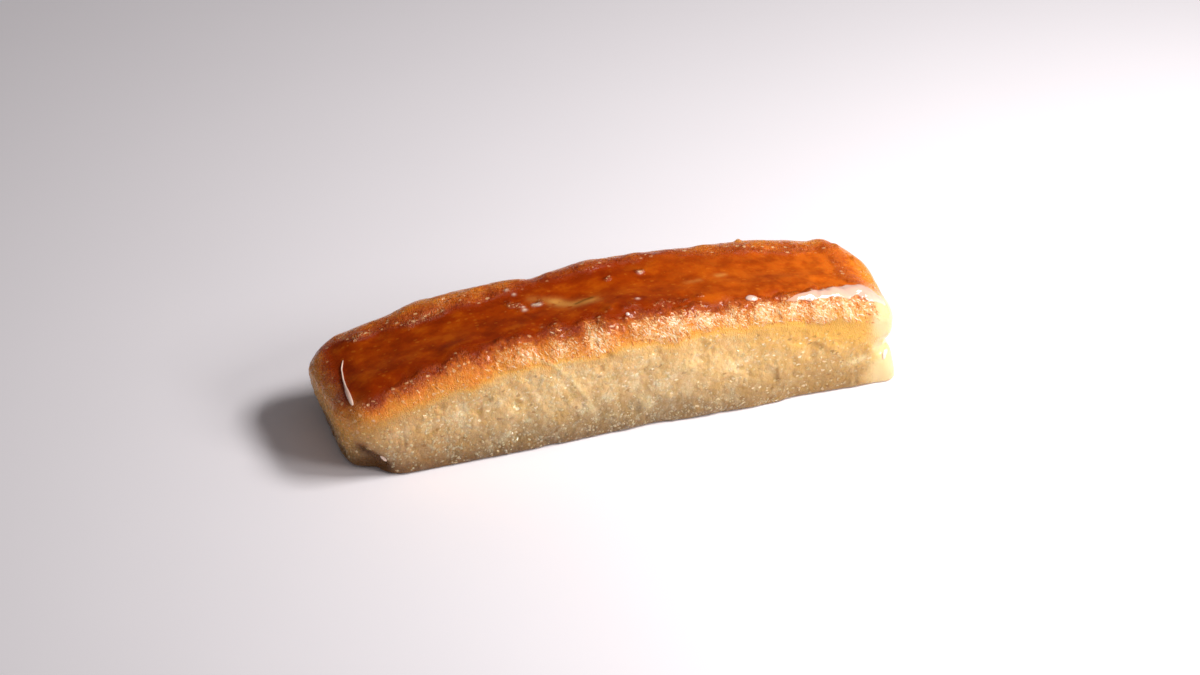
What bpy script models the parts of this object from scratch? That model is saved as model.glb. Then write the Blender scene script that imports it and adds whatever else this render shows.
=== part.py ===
"""A bar of syrup-soaked pastry, baked brown on top, as one closed solid that rests on its flat underside.

+X runs along the bar, -Y is the torn side that shows most, and +Z is up. The origin is under the middle of the bar,
on the surface that it rests on. Every length is in metres.
"""

from math import pi

import bmesh
import bpy
import numpy as np

# The bar's overall size, before its surface is roughened
LENGTH = 0.1315
WIDTH = 0.0355
HEIGHT = 0.0272

# How far the baked top rounds over: inwards across the bar, and downwards
SHOULDER_ACROSS = 0.0090
SHOULDER_DOWN = 0.0070
BOTTOM_ROUND = 0.0007

# The top is arched along the bar: how far each end drops, and how late the drop comes
LEFT_DROP = 0.0092
LEFT_LATENESS = 2.0
RIGHT_DROP = 0.0066
RIGHT_LATENESS = 2.6

# The glazed middle of the top is a shallow trough between two baked ridges
TROUGH_DEPTH = 0.0007
TROUGH_HALF_WIDTH = 0.0060

# Cells of the net that the surface is worked on
CELL = 0.00175
UNDERSIDE_RIM_CELLS = 3

# The underside's rim moves level with the sides above it, and fades out at this share of the round;
# above this height the relief stands square to the surface
UNDERSIDE_STILL = 0.15
EASING_HEIGHT = 0.0015

# How square each upright corner is: 2 is a circle's quarter, more is squarer
CORNER_POWER = {
    (-1, -1): 2.0,
    (1, -1): 5.0,
    (-1, 1): 2.0,
    (1, 1): 3.0,
}

# The left end leans outwards as it rises, so that it is cut back at the bottom
LEAN = 0.0030
LEAN_TOP = 0.0150
LEAN_REACH = 0.0150

# Lumps and dents of the hand-shaped dough: centre, radius, and how far the surface stands out
LUMPS = (
    ((-0.0600, 0.0130, 0.0170), 0.0065, -0.0009),
    ((-0.0410, 0.0130, 0.0235), 0.0050, 0.0005),
    ((-0.0325, 0.0140, 0.0245), 0.0090, 0.0009),
    ((-0.0110, 0.0140, 0.0265), 0.0060, -0.0011),
    ((0.0020, 0.0130, 0.0270), 0.0050, 0.0008),
    ((0.0220, 0.0140, 0.0265), 0.0110, 0.0004),
    ((0.0660, 0.0020, 0.0175), 0.0085, 0.0017),
    ((0.0060, -0.0090, 0.0270), 0.0090, 0.0006),
    ((-0.0400, -0.0110, 0.0240), 0.0100, 0.0005),
    ((-0.0640, 0.0090, 0.0110), 0.0050, 0.0006),
    ((-0.0075, 0.0020, 0.0265), 0.0050, -0.0007),
    ((-0.0010, 0.0020, 0.0265), 0.0045, -0.0005),
    ((-0.0590, -0.0155, 0.0000), 0.0048, -0.0034),
    ((0.0650, -0.0172, 0.0010), 0.0040, 0.0015),
    ((-0.0070, -0.0180, 0.0060), 0.0070, -0.0005),
    ((0.0080, -0.0180, 0.0040), 0.0060, -0.0006),
)

# The crease round the right end, where the glazed crust hangs over the crumb
CREASE_HEIGHT = 0.0098
CREASE_WANDER = 0.0008
CREASE_HALF_WIDTH = 0.0020
CREASE_DEPTH = 0.0015
CREASE_START = 0.0590
CREASE_NOISE = (0.0110, 41)

# Relief: how wide its bumps are, how high they stand, and the seed of each
NOISE_CELLS = 64
UNDULATION = (0.0140, 0.0005, 3)
CRAGS = (0.0042, 0.00042, 11)
CRUMB_LUMPS = (0.0060, 0.00030, 23)
CRUMB_PITS = (0.0044, 0.00022, 31)

CRUST_COLOUR = (0.42, 0.13, 0.02, 1.0)


def smooth_step(value, low, high):
    """0 below low, 1 above high, and a smooth change between them."""
    share = np.clip((value - low) / (high - low), 0.0, 1.0)
    return share * share * (3.0 - 2.0 * share)


def noise(points, size, seed):
    """Smooth random values from -1 to 1: seeded random numbers on a lattice of that size, blended between them."""
    table = np.random.default_rng(seed).uniform(-1.0, 1.0, (NOISE_CELLS,) * 3)
    low = np.floor(points / size).astype(int)
    share = points / size - low
    share = share * share * (3.0 - 2.0 * share)
    total = np.zeros(len(points))
    for corner in np.ndindex(2, 2, 2):
        weight = np.prod(np.where(corner, share, 1.0 - share), axis=1)
        i, j, k = ((low + corner) % NOISE_CELLS).T
        total += weight * table[i, j, k]
    return total


def sliced_box():
    """A box from -1 to 1 whose faces are cut into cells, with one plain face in the middle of its underside."""
    mesh = bmesh.new()
    bmesh.ops.create_cube(mesh, size=2.0)
    for axis, size in enumerate((LENGTH, WIDTH, HEIGHT)):
        cells = round(size / CELL)
        normal = [0.0, 0.0, 0.0]
        normal[axis] = 1.0
        for cut in range(1, cells):
            spot = [0.0, 0.0, 0.0]
            spot[axis] = 2.0 * cut / cells - 1.0
            geometry = mesh.verts[:] + mesh.edges[:] + mesh.faces[:]
            bmesh.ops.bisect_plane(mesh, geom=geometry, plane_co=spot, plane_no=normal, dist=1e-6)
    rim_x = 1.0 - 2.0 * UNDERSIDE_RIM_CELLS / round(LENGTH / CELL)
    rim_y = 1.0 - 2.0 * UNDERSIDE_RIM_CELLS / round(WIDTH / CELL)
    inner = []
    for face in mesh.faces:
        x, y, z = face.calc_center_median()
        if z < -0.999 and abs(x) < rim_x and abs(y) < rim_y:
            inner.append(face)
    bmesh.ops.dissolve_faces(mesh, faces=inner, use_verts=True)
    return mesh


def rounded(unit):
    """The box's points on a bar with round upright corners and a round top edge, and each point's arm.

    Each point is a core point and an arm from it. The arm's shares along the three axes are spread evenly over the
    angle, and its tip is then brought from the box's corner onto the round.
    """
    half = np.array((LENGTH, WIDTH)) / 2.0
    plan = unit[:, :2] * half
    height = (unit[:, 2] + 1.0) / 2.0 * HEIGHT
    core = np.clip(plan, SHOULDER_ACROSS - half, half - SHOULDER_ACROSS)
    core_height = np.minimum(height, HEIGHT - SHOULDER_DOWN)
    arm = np.column_stack(((plan - core) / SHOULDER_ACROSS, (height - core_height) / SHOULDER_DOWN))
    arm = np.tan(pi / 4.0 * np.clip(arm, -1.0, 1.0))
    power = np.full(len(unit), 2.0)
    for (side_x, side_y), corner_power in CORNER_POWER.items():
        power[(side_x * arm[:, 0] > 0.0) & (side_y * arm[:, 1] > 0.0)] = corner_power
    across = (np.abs(arm[:, 0]) ** power + np.abs(arm[:, 1]) ** power) ** (1.0 / power)
    length = np.hypot(across, arm[:, 2])
    arm *= (np.abs(arm).max(axis=1) / np.maximum(length, 1e-9))[:, None]
    reach = arm * (SHOULDER_ACROSS, SHOULDER_ACROSS, SHOULDER_DOWN)
    return np.column_stack((core, core_height)) + reach, arm


def height_share(x):
    """What is left of the full height at x, because the top is arched along the bar."""
    along = x / (LENGTH / 2.0)
    left = LEFT_DROP * np.abs(along) ** LEFT_LATENESS
    right = RIGHT_DROP * np.abs(along) ** RIGHT_LATENESS
    return 1.0 - np.where(along < 0.0, left, right) / HEIGHT


def formed(points):
    """The bar's smooth form: the rounded points with the top arched and troughed, and the bottom edge eased."""
    points = points.copy()
    x, y, z = points.T.copy()
    crown = smooth_step(z, HEIGHT - 0.5 * SHOULDER_DOWN, HEIGHT)
    z -= TROUGH_DEPTH * crown * np.exp(-((y / TROUGH_HALF_WIDTH) ** 2))
    points[:, 2] = z * height_share(x)
    low = np.clip(1.0 - points[:, 2] / LEAN_TOP, 0.0, 1.0)
    points[:, 0] += LEAN * low * (1.0 - smooth_step(x, -LENGTH / 2.0, LEAN_REACH - LENGTH / 2.0))
    below = np.clip(1.0 - points[:, 2] / BOTTOM_ROUND, 0.0, 1.0)
    inset = BOTTOM_ROUND * (1.0 - np.sqrt(1.0 - below**2))
    points[:, 0] *= 1.0 - inset / (LENGTH / 2.0)
    points[:, 1] *= 1.0 - inset / (WIDTH / 2.0)
    return points


def relief(points, crust):
    """How far the surface stands out at each point: lumps, the crease, crags on the crust and pits in the crumb."""
    out = np.zeros(len(points))
    for centre, radius, push in LUMPS:
        away = np.linalg.norm(points - np.array(centre), axis=1)
        out += push * np.exp(-((away / radius) ** 2))
    x, y, z = points.T
    wander = noise(points * [1.0, 1.0, 0.0], *CREASE_NOISE)
    away = (z - CREASE_HEIGHT - CREASE_WANDER * wander) / CREASE_HALF_WIDTH
    at_end = smooth_step(x, CREASE_START, CREASE_START + 0.004)
    at_front = 1.0 - 0.8 * smooth_step(y, -0.006, 0.012)
    out -= CREASE_DEPTH * np.exp(-(away**2)) * at_end * at_front
    out += UNDULATION[1] * noise(points, UNDULATION[0], UNDULATION[2])
    ridge = crust * smooth_step(np.abs(y), 0.3 * TROUGH_HALF_WIDTH, 1.3 * TROUGH_HALF_WIDTH)
    out += ridge * CRAGS[1] * noise(points, CRAGS[0], CRAGS[2])
    crumb = 1.0 - crust
    out += crumb * CRUMB_LUMPS[1] * noise(points, CRUMB_LUMPS[0], CRUMB_LUMPS[2])
    pits = smooth_step(noise(points, CRUMB_PITS[0], CRUMB_PITS[2]), 0.25, 0.8)
    return out - crumb * CRUMB_PITS[1] * pits


def outward(points, arm, normals):
    """Which way the relief moves each point: along its normal, but level near the surface that the bar rests on."""
    standing = smooth_step(points[:, 2], 0.0, EASING_HEIGHT)[:, None]
    reach = np.hypot(arm[:, 0], arm[:, 1])
    share = np.clip((reach - UNDERSIDE_STILL) / (1.0 - UNDERSIDE_STILL), 0.0, 1.0)
    level = arm * [1.0, 1.0, 0.0] * share[:, None]
    return level + (normals - level) * standing


def material(name, colour, roughness):
    """A Principled material of one colour."""
    made = bpy.data.materials.new(name)
    made.use_nodes = True
    shader = made.node_tree.nodes["Principled BSDF"]
    shader.inputs["Base Color"].default_value = colour
    shader.inputs["Roughness"].default_value = roughness
    shader.inputs["Metallic"].default_value = 0.0
    return made


def place(mesh, points):
    """Moves the mesh's vertices to the points."""
    for vertex, point in zip(mesh.verts, points):
        vertex.co = point
    mesh.normal_update()


def pastry_bar():
    """The whole bar as one object."""
    mesh = sliced_box()
    unit = np.array([vertex.co for vertex in mesh.verts])
    box_form, arm = rounded(unit)
    crust = smooth_step(box_form[:, 2] / HEIGHT, 0.80, 0.92)
    points = formed(box_form)
    place(mesh, points)
    normals = np.array([vertex.normal for vertex in mesh.verts])
    moved = points + outward(points, arm, normals) * relief(points, crust)[:, None]
    moved[:, :2] -= (moved.min(axis=0) + moved.max(axis=0))[:2] / 2.0
    place(mesh, moved)
    data = bpy.data.meshes.new("pastry_bar")
    mesh.to_mesh(data)
    mesh.free()
    data.shade_smooth()
    data.materials.append(material("baked_pastry", CRUST_COLOUR, 0.35))
    bar = bpy.data.objects.new("pastry_bar", data)
    bpy.context.collection.objects.link(bar)
    return bar


def main():
    """Clears the scene and builds the bar."""
    for thing in list(bpy.data.objects):
        bpy.data.objects.remove(thing)
    pastry_bar()


main()
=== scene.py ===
"""Looks of a syrup-soaked pastry bar: glossy top, rough sugared shoulder, golden strip and wet crumb.

The bar lies along X on its flat underside, with its torn side towards -Y and +Z up. The outer form repeats
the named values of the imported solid, and everything finer is added here. Lengths in this file are in
millimetres, and a mesh is brought to metres when it is made.
"""

from __future__ import annotations

import logging
from dataclasses import dataclass, field
from enum import Enum
from math import pi

import bpy
import numpy as np
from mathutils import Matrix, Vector


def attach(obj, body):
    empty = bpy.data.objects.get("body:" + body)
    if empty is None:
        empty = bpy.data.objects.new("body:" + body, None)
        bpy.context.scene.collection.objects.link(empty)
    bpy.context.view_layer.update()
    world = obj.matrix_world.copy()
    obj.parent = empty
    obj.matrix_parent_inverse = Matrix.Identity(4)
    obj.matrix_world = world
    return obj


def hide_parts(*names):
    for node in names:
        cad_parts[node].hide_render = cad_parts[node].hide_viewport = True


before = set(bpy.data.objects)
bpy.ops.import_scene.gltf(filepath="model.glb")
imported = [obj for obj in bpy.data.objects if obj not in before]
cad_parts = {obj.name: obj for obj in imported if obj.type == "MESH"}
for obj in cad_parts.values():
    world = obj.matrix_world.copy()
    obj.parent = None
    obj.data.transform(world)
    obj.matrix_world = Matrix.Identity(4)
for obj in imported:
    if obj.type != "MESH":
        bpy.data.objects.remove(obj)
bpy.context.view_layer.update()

LOG = logging.getLogger("pastry_bar")

MM = 0.001

Point = tuple[float, float, float]
Colour = tuple[float, float, float]
Socket = bpy.types.NodeSocket


# Numbers that more than one piece uses


def smooth_step(value: np.ndarray, low: float | np.ndarray, high: float | np.ndarray) -> np.ndarray:
    """0 below low, 1 above high, and the cubic 3s² - 2s³ of the share s between them."""
    share = np.clip((value - low) / (high - low), 0.0, 1.0)
    return share * share * (3.0 - 2.0 * share)


def mix(first: np.ndarray | float, second: np.ndarray | float, share: np.ndarray) -> np.ndarray:
    """first at share 0, second at share 1, and in proportion between them."""
    return first + (second - first) * share


def unit_rows(vectors: np.ndarray) -> np.ndarray:
    """Each row brought to length 1."""
    return vectors / np.maximum(np.linalg.norm(vectors, axis=1), 1e-12)[:, None]


def linear(red: float, green: float, blue: float) -> Colour:
    """A colour from 0 to 255 as it is seen, turned into the linear light that shaders use.

    Args:
        red: from 0 to 255.
        green: from 0 to 255.
        blue: from 0 to 255.

    Returns:
        The same colour in linear light, from 0 to 1.
    """
    seen = np.array((red, green, blue)) / 255.0
    light = np.where(seen <= 0.04045, seen / 12.92, ((seen + 0.055) / 1.055) ** 2.4)
    return tuple(float(value) for value in light)


@dataclass(frozen=True)
class Step:
    """A smooth step: where it starts and ends, and what it gives before and after."""

    low: float
    high: float
    before: float = 0.0
    after: float = 1.0

    def at(self, values: np.ndarray) -> np.ndarray:
        """The step's result at each value."""
        return mix(self.before, self.after, smooth_step(values, self.low, self.high))


@dataclass(frozen=True)
class Belt:
    """A stretch that something fades into and out of again, by one smooth step up and one down."""

    rise: tuple[float, float]
    fall: tuple[float, float]

    def at(self, values: np.ndarray) -> np.ndarray:
        """The product of the step up and 1 minus the other step, at each value."""
        return smooth_step(values, *self.rise) * (1.0 - smooth_step(values, *self.fall))


class Noise:
    """Seeded random numbers on a lattice of cells that repeats."""

    CELLS = 64
    MARGIN = 0.08

    @classmethod
    def smooth(cls, points: np.ndarray, size: float, seed: int) -> np.ndarray:
        """Smooth random values from -1 to 1: the eight corners' numbers, blended by the cubic of the share.

        Args:
            points: places in millimetres, one row each.
            size: width of a cell.
            seed: which table of numbers.

        Returns:
            One value for each place.
        """
        table = np.random.default_rng(seed).uniform(-1.0, 1.0, (cls.CELLS,) * 3)
        low = np.floor(points / size).astype(int)
        share = points / size - low
        share = share * share * (3.0 - 2.0 * share)
        total = np.zeros(len(points))
        for corner in np.ndindex(2, 2, 2):
            weight = np.prod(np.where(corner, share, 1.0 - share), axis=1)
            i, j, k = ((low + corner) % cls.CELLS).T
            total += weight * table[i, j, k]
        return total

    @classmethod
    def cells(cls, points: np.ndarray, size: float, seed: int) -> tuple[np.ndarray, np.ndarray]:
        """Packed grains: each cell holds one seeded centre, and each place is measured to the nearest.

        Args:
            points: places in millimetres, one row each.
            size: width of a cell, which is about one grain.
            seed: which table of numbers.

        Returns:
            The distance to the nearest centre, in cells, and that grain's own number.
        """
        rng = np.random.default_rng(seed)
        jitter = rng.uniform(cls.MARGIN, 1.0 - cls.MARGIN, (cls.CELLS,) * 3 + (3,))
        number = rng.uniform(0.0, 1.0, (cls.CELLS,) * 3)
        place = points / size
        low = np.floor(place).astype(int)
        nearest = np.full(len(points), np.inf)
        own = np.zeros(len(points))
        for step in np.ndindex(3, 3, 3):
            cell = low + step - 1
            i, j, k = (cell % cls.CELLS).T
            away = np.linalg.norm(cell + jitter[i, j, k] - place, axis=1)
            own = np.where(away < nearest, number[i, j, k], own)
            nearest = np.minimum(nearest, away)
        return nearest, own


@dataclass(frozen=True)
class Cloud:
    """Cloudy noise: the width of its cells, its height, and its seed."""

    size: float
    height: float
    seed: int

    def plain(self, points: np.ndarray) -> np.ndarray:
        """The noise from -1 to 1."""
        return Noise.smooth(points, self.size, self.seed)

    def at(self, points: np.ndarray) -> np.ndarray:
        """The noise times its height."""
        return self.height * self.plain(points)


def distance_to_path(points: np.ndarray, path: tuple[Point, ...]) -> np.ndarray:
    """Distance from each place to a line of straight stretches: the least over all of them.

    Args:
        points: places in millimetres, one row each.
        path: the line's corners, in order.

    Returns:
        The distance of each place, in millimetres.
    """
    nearest = np.linalg.norm(points - np.array(path[0]), axis=1)
    for start, end in zip(path[:-1], path[1:]):
        start, run = np.array(start), np.subtract(end, start)
        share = np.clip((points - start) @ run / (run @ run), 0.0, 1.0)
        nearest = np.minimum(nearest, np.linalg.norm(points - start - share[:, None] * run, axis=1))
    return nearest


@dataclass(frozen=True)
class Spot:
    """A place on the bar: the line that it follows, how far it reaches to each side, and how strong it is.

    A flat one is drawn on the front, and its distance across the bar counts for a quarter.
    """

    ACROSS = 0.25

    path: tuple[Point, ...]
    reach: float
    strength: float = 1.0
    flat: bool = False

    def share(self, points: np.ndarray) -> np.ndarray:
        """Strength times the bell exp(-(distance / reach)²).

        Args:
            points: places in millimetres, one row each.

        Returns:
            One value for each place.
        """
        scale = np.array((1.0, self.ACROSS, 1.0)) if self.flat else np.ones(3)
        away = distance_to_path(points * scale, tuple(np.array(self.path) * scale))
        front = (points[:, 1] < 0.0) if self.flat else 1.0
        return self.strength * np.exp(-((away / self.reach) ** 2)) * front


def total_share(points: np.ndarray, spots: tuple[Spot, ...]) -> np.ndarray:
    """The sum of what each of the spots gives at each place."""
    return sum((spot.share(points) for spot in spots), np.zeros(len(points)))


# The bar's form


@dataclass(frozen=True)
class BarForm:
    """The hand-shaped bar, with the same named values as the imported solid, in millimetres."""

    length: float = 131.5
    width: float = 35.5
    height: float = 27.2
    shoulder_across: float = 9.0
    shoulder_down: float = 7.0
    bottom_round: float = 0.7
    left_drop: float = 9.2
    left_lateness: float = 2.0
    right_drop: float = 6.6
    right_lateness: float = 2.6
    trough_depth: float = 0.7
    trough_half_width: float = 6.0
    underside_still: float = 0.15
    easing_height: float = 1.5
    lean: float = 3.0
    lean_top: float = 15.0
    lean_reach: float = 15.0
    crease_height: float = 9.8
    crease_wander: float = 0.8
    crease_half_width: float = 2.0
    crease_depth: float = 1.5
    crease_along: Step = Step(59.0, 63.0)
    crease_across: Step = Step(-6.0, 12.0, 1.0, 0.2)
    crag_rise: tuple[float, float] = (0.3, 1.3)
    pit_rise: tuple[float, float] = (0.25, 0.8)
    crease_noise: tuple[float, int] = (11.0, 41)
    undulation: tuple[float, float, int] = (14.0, 0.50, 3)
    crags: tuple[float, float, int] = (4.2, 0.42, 11)
    crumb_lumps: tuple[float, float, int] = (6.0, 0.30, 23)
    crumb_pits: tuple[float, float, int] = (4.4, 0.22, 31)
    centring: tuple[float, float, float] = (0.600, 0.0884, 0.0)
    corner_power: tuple[tuple[int, int, float], ...] = (
        (-1, -1, 2.0),
        (1, -1, 5.0),
        (-1, 1, 2.0),
        (1, 1, 3.0),
    )
    lumps: tuple[tuple[Point, float, float], ...] = (
        ((-60.0, 13.0, 17.0), 6.5, -0.9),
        ((-41.0, 13.0, 23.5), 5.0, 0.5),
        ((-32.5, 14.0, 24.5), 9.0, 0.9),
        ((-11.0, 14.0, 26.5), 6.0, -1.1),
        ((2.0, 13.0, 27.0), 5.0, 0.8),
        ((22.0, 14.0, 26.5), 11.0, 0.4),
        ((66.0, 2.0, 17.5), 8.5, 1.7),
        ((6.0, -9.0, 27.0), 9.0, 0.6),
        ((-40.0, -11.0, 24.0), 10.0, 0.5),
        ((-64.0, 9.0, 11.0), 5.0, 0.6),
        ((-7.5, 2.0, 26.5), 5.0, -0.7),
        ((-1.0, 2.0, 26.5), 4.5, -0.5),
        ((-59.0, -15.5, 0.0), 4.8, -3.4),
        ((65.0, -17.2, 1.0), 4.0, 1.5),
        ((-7.0, -18.0, 6.0), 7.0, -0.5),
        ((8.0, -18.0, 4.0), 6.0, -0.6),
    )

    def rounded(self, unit: np.ndarray) -> tuple[np.ndarray, np.ndarray]:
        """A box's points brought onto a bar with round upright corners and a round top edge.

        Each point is a core point and an arm from it. The arm's shares are spread evenly over the angle, and
        its tip is brought from the box's corner onto the round, whose plan is a power curve at each corner.

        Args:
            unit: points of a box from -1 to 1.

        Returns:
            The rounded points, and the arm of each.
        """
        half = np.array((self.length, self.width)) / 2.0
        plan = unit[:, :2] * half
        height = (unit[:, 2] + 1.0) / 2.0 * self.height
        core = np.clip(plan, self.shoulder_across - half, half - self.shoulder_across)
        core_height = np.minimum(height, self.height - self.shoulder_down)
        rise = (height - core_height) / self.shoulder_down
        arm = np.column_stack(((plan - core) / self.shoulder_across, rise))
        arm = np.tan(pi / 4.0 * np.clip(arm, -1.0, 1.0))
        power = np.full(len(unit), 2.0)
        for side_x, side_y, corner_power in self.corner_power:
            power[(side_x * arm[:, 0] > 0.0) & (side_y * arm[:, 1] > 0.0)] = corner_power
        across = (np.abs(arm[:, 0]) ** power + np.abs(arm[:, 1]) ** power) ** (1.0 / power)
        length = np.hypot(across, arm[:, 2])
        arm *= (np.abs(arm).max(axis=1) / np.maximum(length, 1e-9))[:, None]
        reach = arm * (self.shoulder_across, self.shoulder_across, self.shoulder_down)
        return np.column_stack((core, core_height)) + reach, arm

    def height_share(self, x: np.ndarray) -> np.ndarray:
        """What is left of the full height at x: each side drops by a power of the way to that end.

        Args:
            x: places along the bar.

        Returns:
            The share at each of them.
        """
        along = x / (self.length / 2.0)
        left = self.left_drop * np.abs(along) ** self.left_lateness
        right = self.right_drop * np.abs(along) ** self.right_lateness
        return 1.0 - np.where(along < 0.0, left, right) / self.height

    def formed(self, points: np.ndarray) -> np.ndarray:
        """The smooth form: the arch, a bell-shaped trough along the top, and a left end that is cut back.

        Args:
            points: places on the rounded box.

        Returns:
            The places on the smooth form.
        """
        points = points.copy()
        x, y, z = points.T.copy()
        crown = smooth_step(z, self.height - 0.5 * self.shoulder_down, self.height)
        z -= self.trough_depth * crown * np.exp(-((y / self.trough_half_width) ** 2))
        points[:, 2] = z * self.height_share(x)
        low = np.clip(1.0 - points[:, 2] / self.lean_top, 0.0, 1.0)
        left = -self.length / 2.0
        points[:, 0] += self.lean * low * (1.0 - smooth_step(x, left, left + self.lean_reach))
        below = np.clip(1.0 - points[:, 2] / self.bottom_round, 0.0, 1.0)
        inset = self.bottom_round * (1.0 - np.sqrt(1.0 - below**2))
        points[:, :2] *= 1.0 - inset[:, None] / (np.array((self.length, self.width)) / 2.0)
        return points

    def relief(self, points: np.ndarray, crust: np.ndarray) -> np.ndarray:
        """How far the surface stands out: the lumps' bells, the crease, and noise for crags and pits.

        Args:
            points: places on the smooth form.
            crust: 1 on the crust and 0 on the crumb.

        Returns:
            Millimetres outwards, for each place.
        """
        out = np.zeros(len(points))
        for centre, radius, push in self.lumps:
            away = np.linalg.norm(points - np.array(centre), axis=1)
            out += push * np.exp(-((away / radius) ** 2))
        x, y, z = points.T
        wander = Noise.smooth(points * [1.0, 1.0, 0.0], *self.crease_noise)
        away = (z - self.crease_height - self.crease_wander * wander) / self.crease_half_width
        out -= self.crease_depth * np.exp(-(away**2)) * self.crease_along.at(x) * self.crease_across.at(y)
        beside = smooth_step(np.abs(y) / self.trough_half_width, *self.crag_rise)
        crumb = 1.0 - crust
        for share, (size, height, seed) in (
            (1.0, self.undulation),
            (crust * beside, self.crags),
            (crumb, self.crumb_lumps),
        ):
            out += share * height * Noise.smooth(points, size, seed)
        size, depth, seed = self.crumb_pits
        return out - crumb * depth * smooth_step(Noise.smooth(points, size, seed), *self.pit_rise)

    def outward(self, points: np.ndarray, arm: np.ndarray, normals: np.ndarray) -> np.ndarray:
        """Which way the relief moves each point: along its normal, but level near the underside.

        Args:
            points: places on the smooth form.
            arm: the arm of each.
            normals: the unit normal of each.

        Returns:
            A direction for each place.
        """
        standing = smooth_step(points[:, 2], 0.0, self.easing_height)[:, None]
        reach = np.hypot(arm[:, 0], arm[:, 1])
        share = np.clip((reach - self.underside_still) / (1.0 - self.underside_still), 0.0, 1.0)
        level = arm * [1.0, 1.0, 0.0] * share[:, None]
        return level + (normals - level) * standing

    def climb(self, box_form: np.ndarray, arm: np.ndarray) -> np.ndarray:
        """How far up and over each point lies, measured over the surface from where the shoulder starts.

        Below the shoulder it is the height less the shoulder's, on the round it is the angle's share of the
        arc, and on the flat of the top the distance from the round's edge is added.

        Args:
            box_form: places on the rounded box.
            arm: the arm of each.

        Returns:
            Millimetres of climb, below 0 on the wall.
        """
        arc = pi / 2.0 * (self.shoulder_across + self.shoulder_down) / 2.0
        angle = np.arctan2(arm[:, 2], np.sqrt(np.clip(1.0 - arm[:, 2] ** 2, 0.0, 1.0)))
        wall = np.minimum(box_form[:, 2] - (self.height - self.shoulder_down), 0.0)
        flat_x = self.length / 2.0 - self.shoulder_across - np.abs(box_form[:, 0])
        flat_y = self.width / 2.0 - self.shoulder_across - np.abs(box_form[:, 1])
        inward = np.where(arm[:, 2] > 0.9999, np.clip(np.minimum(flat_x, flat_y), 0.0, None), 0.0)
        return wall + angle / (pi / 2.0) * arc + inward


@dataclass(frozen=True)
class SkinNet:
    """The net of cells over the whole bar: fine on the sides and top, coarse on the underside."""

    cells_along: int = 368
    shoulder_cells: int = 20
    top_cells: int = 40
    wall_cells: int = 54
    coarse_step: int = 8
    rim_share: float = 0.03

    def _cuts(self, half: float, shoulder: float, middle_cells: int) -> np.ndarray:
        """Cuts from -1 to 1 across the bar: even over each shoulder, and even between them.

        Args:
            half: half of the bar's width.
            shoulder: the width of one shoulder.
            middle_cells: how many cells lie between the shoulders.

        Returns:
            The cuts, in order.
        """
        edge = 1.0 - shoulder / half
        low = np.linspace(-1.0, -edge, self.shoulder_cells + 1)
        middle = np.linspace(-edge, edge, middle_cells + 1)[1:-1]
        return np.concatenate((low, middle, -low[::-1]))

    def build(self, form: BarForm) -> tuple[np.ndarray, np.ndarray, np.ndarray]:
        """The lattice's points on a box from -1 to 1, its four-sided faces, and its three-sided ones.

        Args:
            form: gives the shares of the box that the shoulders take.

        Returns:
            Points, quads and triangles, with every face pointing outwards.
        """
        along = np.linspace(-1.0, 1.0, self.cells_along + 1)
        across = self._cuts(form.width / 2.0, form.shoulder_across, self.top_cells)
        edge = 1.0 - 2.0 * form.shoulder_down / form.height
        wall = np.linspace(-1.0, edge, self.wall_cells + 1)
        up = np.concatenate((wall, np.linspace(edge, 1.0, self.shoulder_cells + 1)[1:]))
        sizes = (len(along), len(across), len(up))
        place = np.indices(sizes)
        outer = np.zeros(sizes, bool)
        for axis, size in enumerate(sizes):
            outer |= (place[axis] == 0) | (place[axis] == size - 1)
        outer[1:-1, 1:-1, 0] = False
        number = np.where(outer, np.cumsum(outer).reshape(sizes) - 1, -1)
        i, j, k = (place[axis][outer] for axis in range(3))
        points = np.column_stack((along[i], across[j], up[k]))
        sheets = (
            number[:, :, -1],
            number[:, 0, :],
            number[:, -1, ::-1],
            number[0, ::-1, :],
            number[-1, :, :],
        )
        quads = np.concatenate(
            [
                np.stack((s[:-1, :-1], s[1:, :-1], s[1:, 1:], s[:-1, 1:]), axis=-1).reshape(-1, 4)
                for s in sheets
            ]
        )
        rim = self._loop(number[:, :, 0])
        step = self.coarse_step
        rim_x, rim_y = (1.0 - 2.0 * share for share in (self.rim_share / 3.0, self.rim_share))
        grid_x, grid_y = np.meshgrid(along[::step] * rim_x, across[::step] * rim_y, indexing="ij")
        inner = np.arange(grid_x.size).reshape(grid_x.shape) + len(points)
        grid = np.stack((grid_x, grid_y, -np.ones(grid_x.shape)), axis=-1)
        points = np.concatenate((points, grid.reshape(-1, 3)))
        under = np.stack((inner[:-1, :-1], inner[:-1, 1:], inner[1:, 1:], inner[1:, :-1]), axis=-1)
        quads = np.concatenate((quads, under.reshape(-1, 4)))
        coarse = self._loop(inner)
        outer_next = np.roll(rim, -1)
        index = np.arange(len(rim))
        nearer = np.where(index % step < step // 2, index // step, index // step + 1) % len(coarse)
        fans = np.column_stack((outer_next, rim, coarse[nearer]))
        middle = rim[step // 2 :: step]
        bridges = np.column_stack((middle, coarse, np.roll(coarse, -1)))
        return points, quads, np.concatenate((fans, bridges))

    @staticmethod
    def _loop(sheet: np.ndarray) -> np.ndarray:
        """The numbers once round a sheet's edge, from its first corner and along +X first."""
        return np.concatenate((sheet[:-1, 0], sheet[-1, :-1], sheet[:0:-1, -1], sheet[0, :0:-1]))


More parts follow.
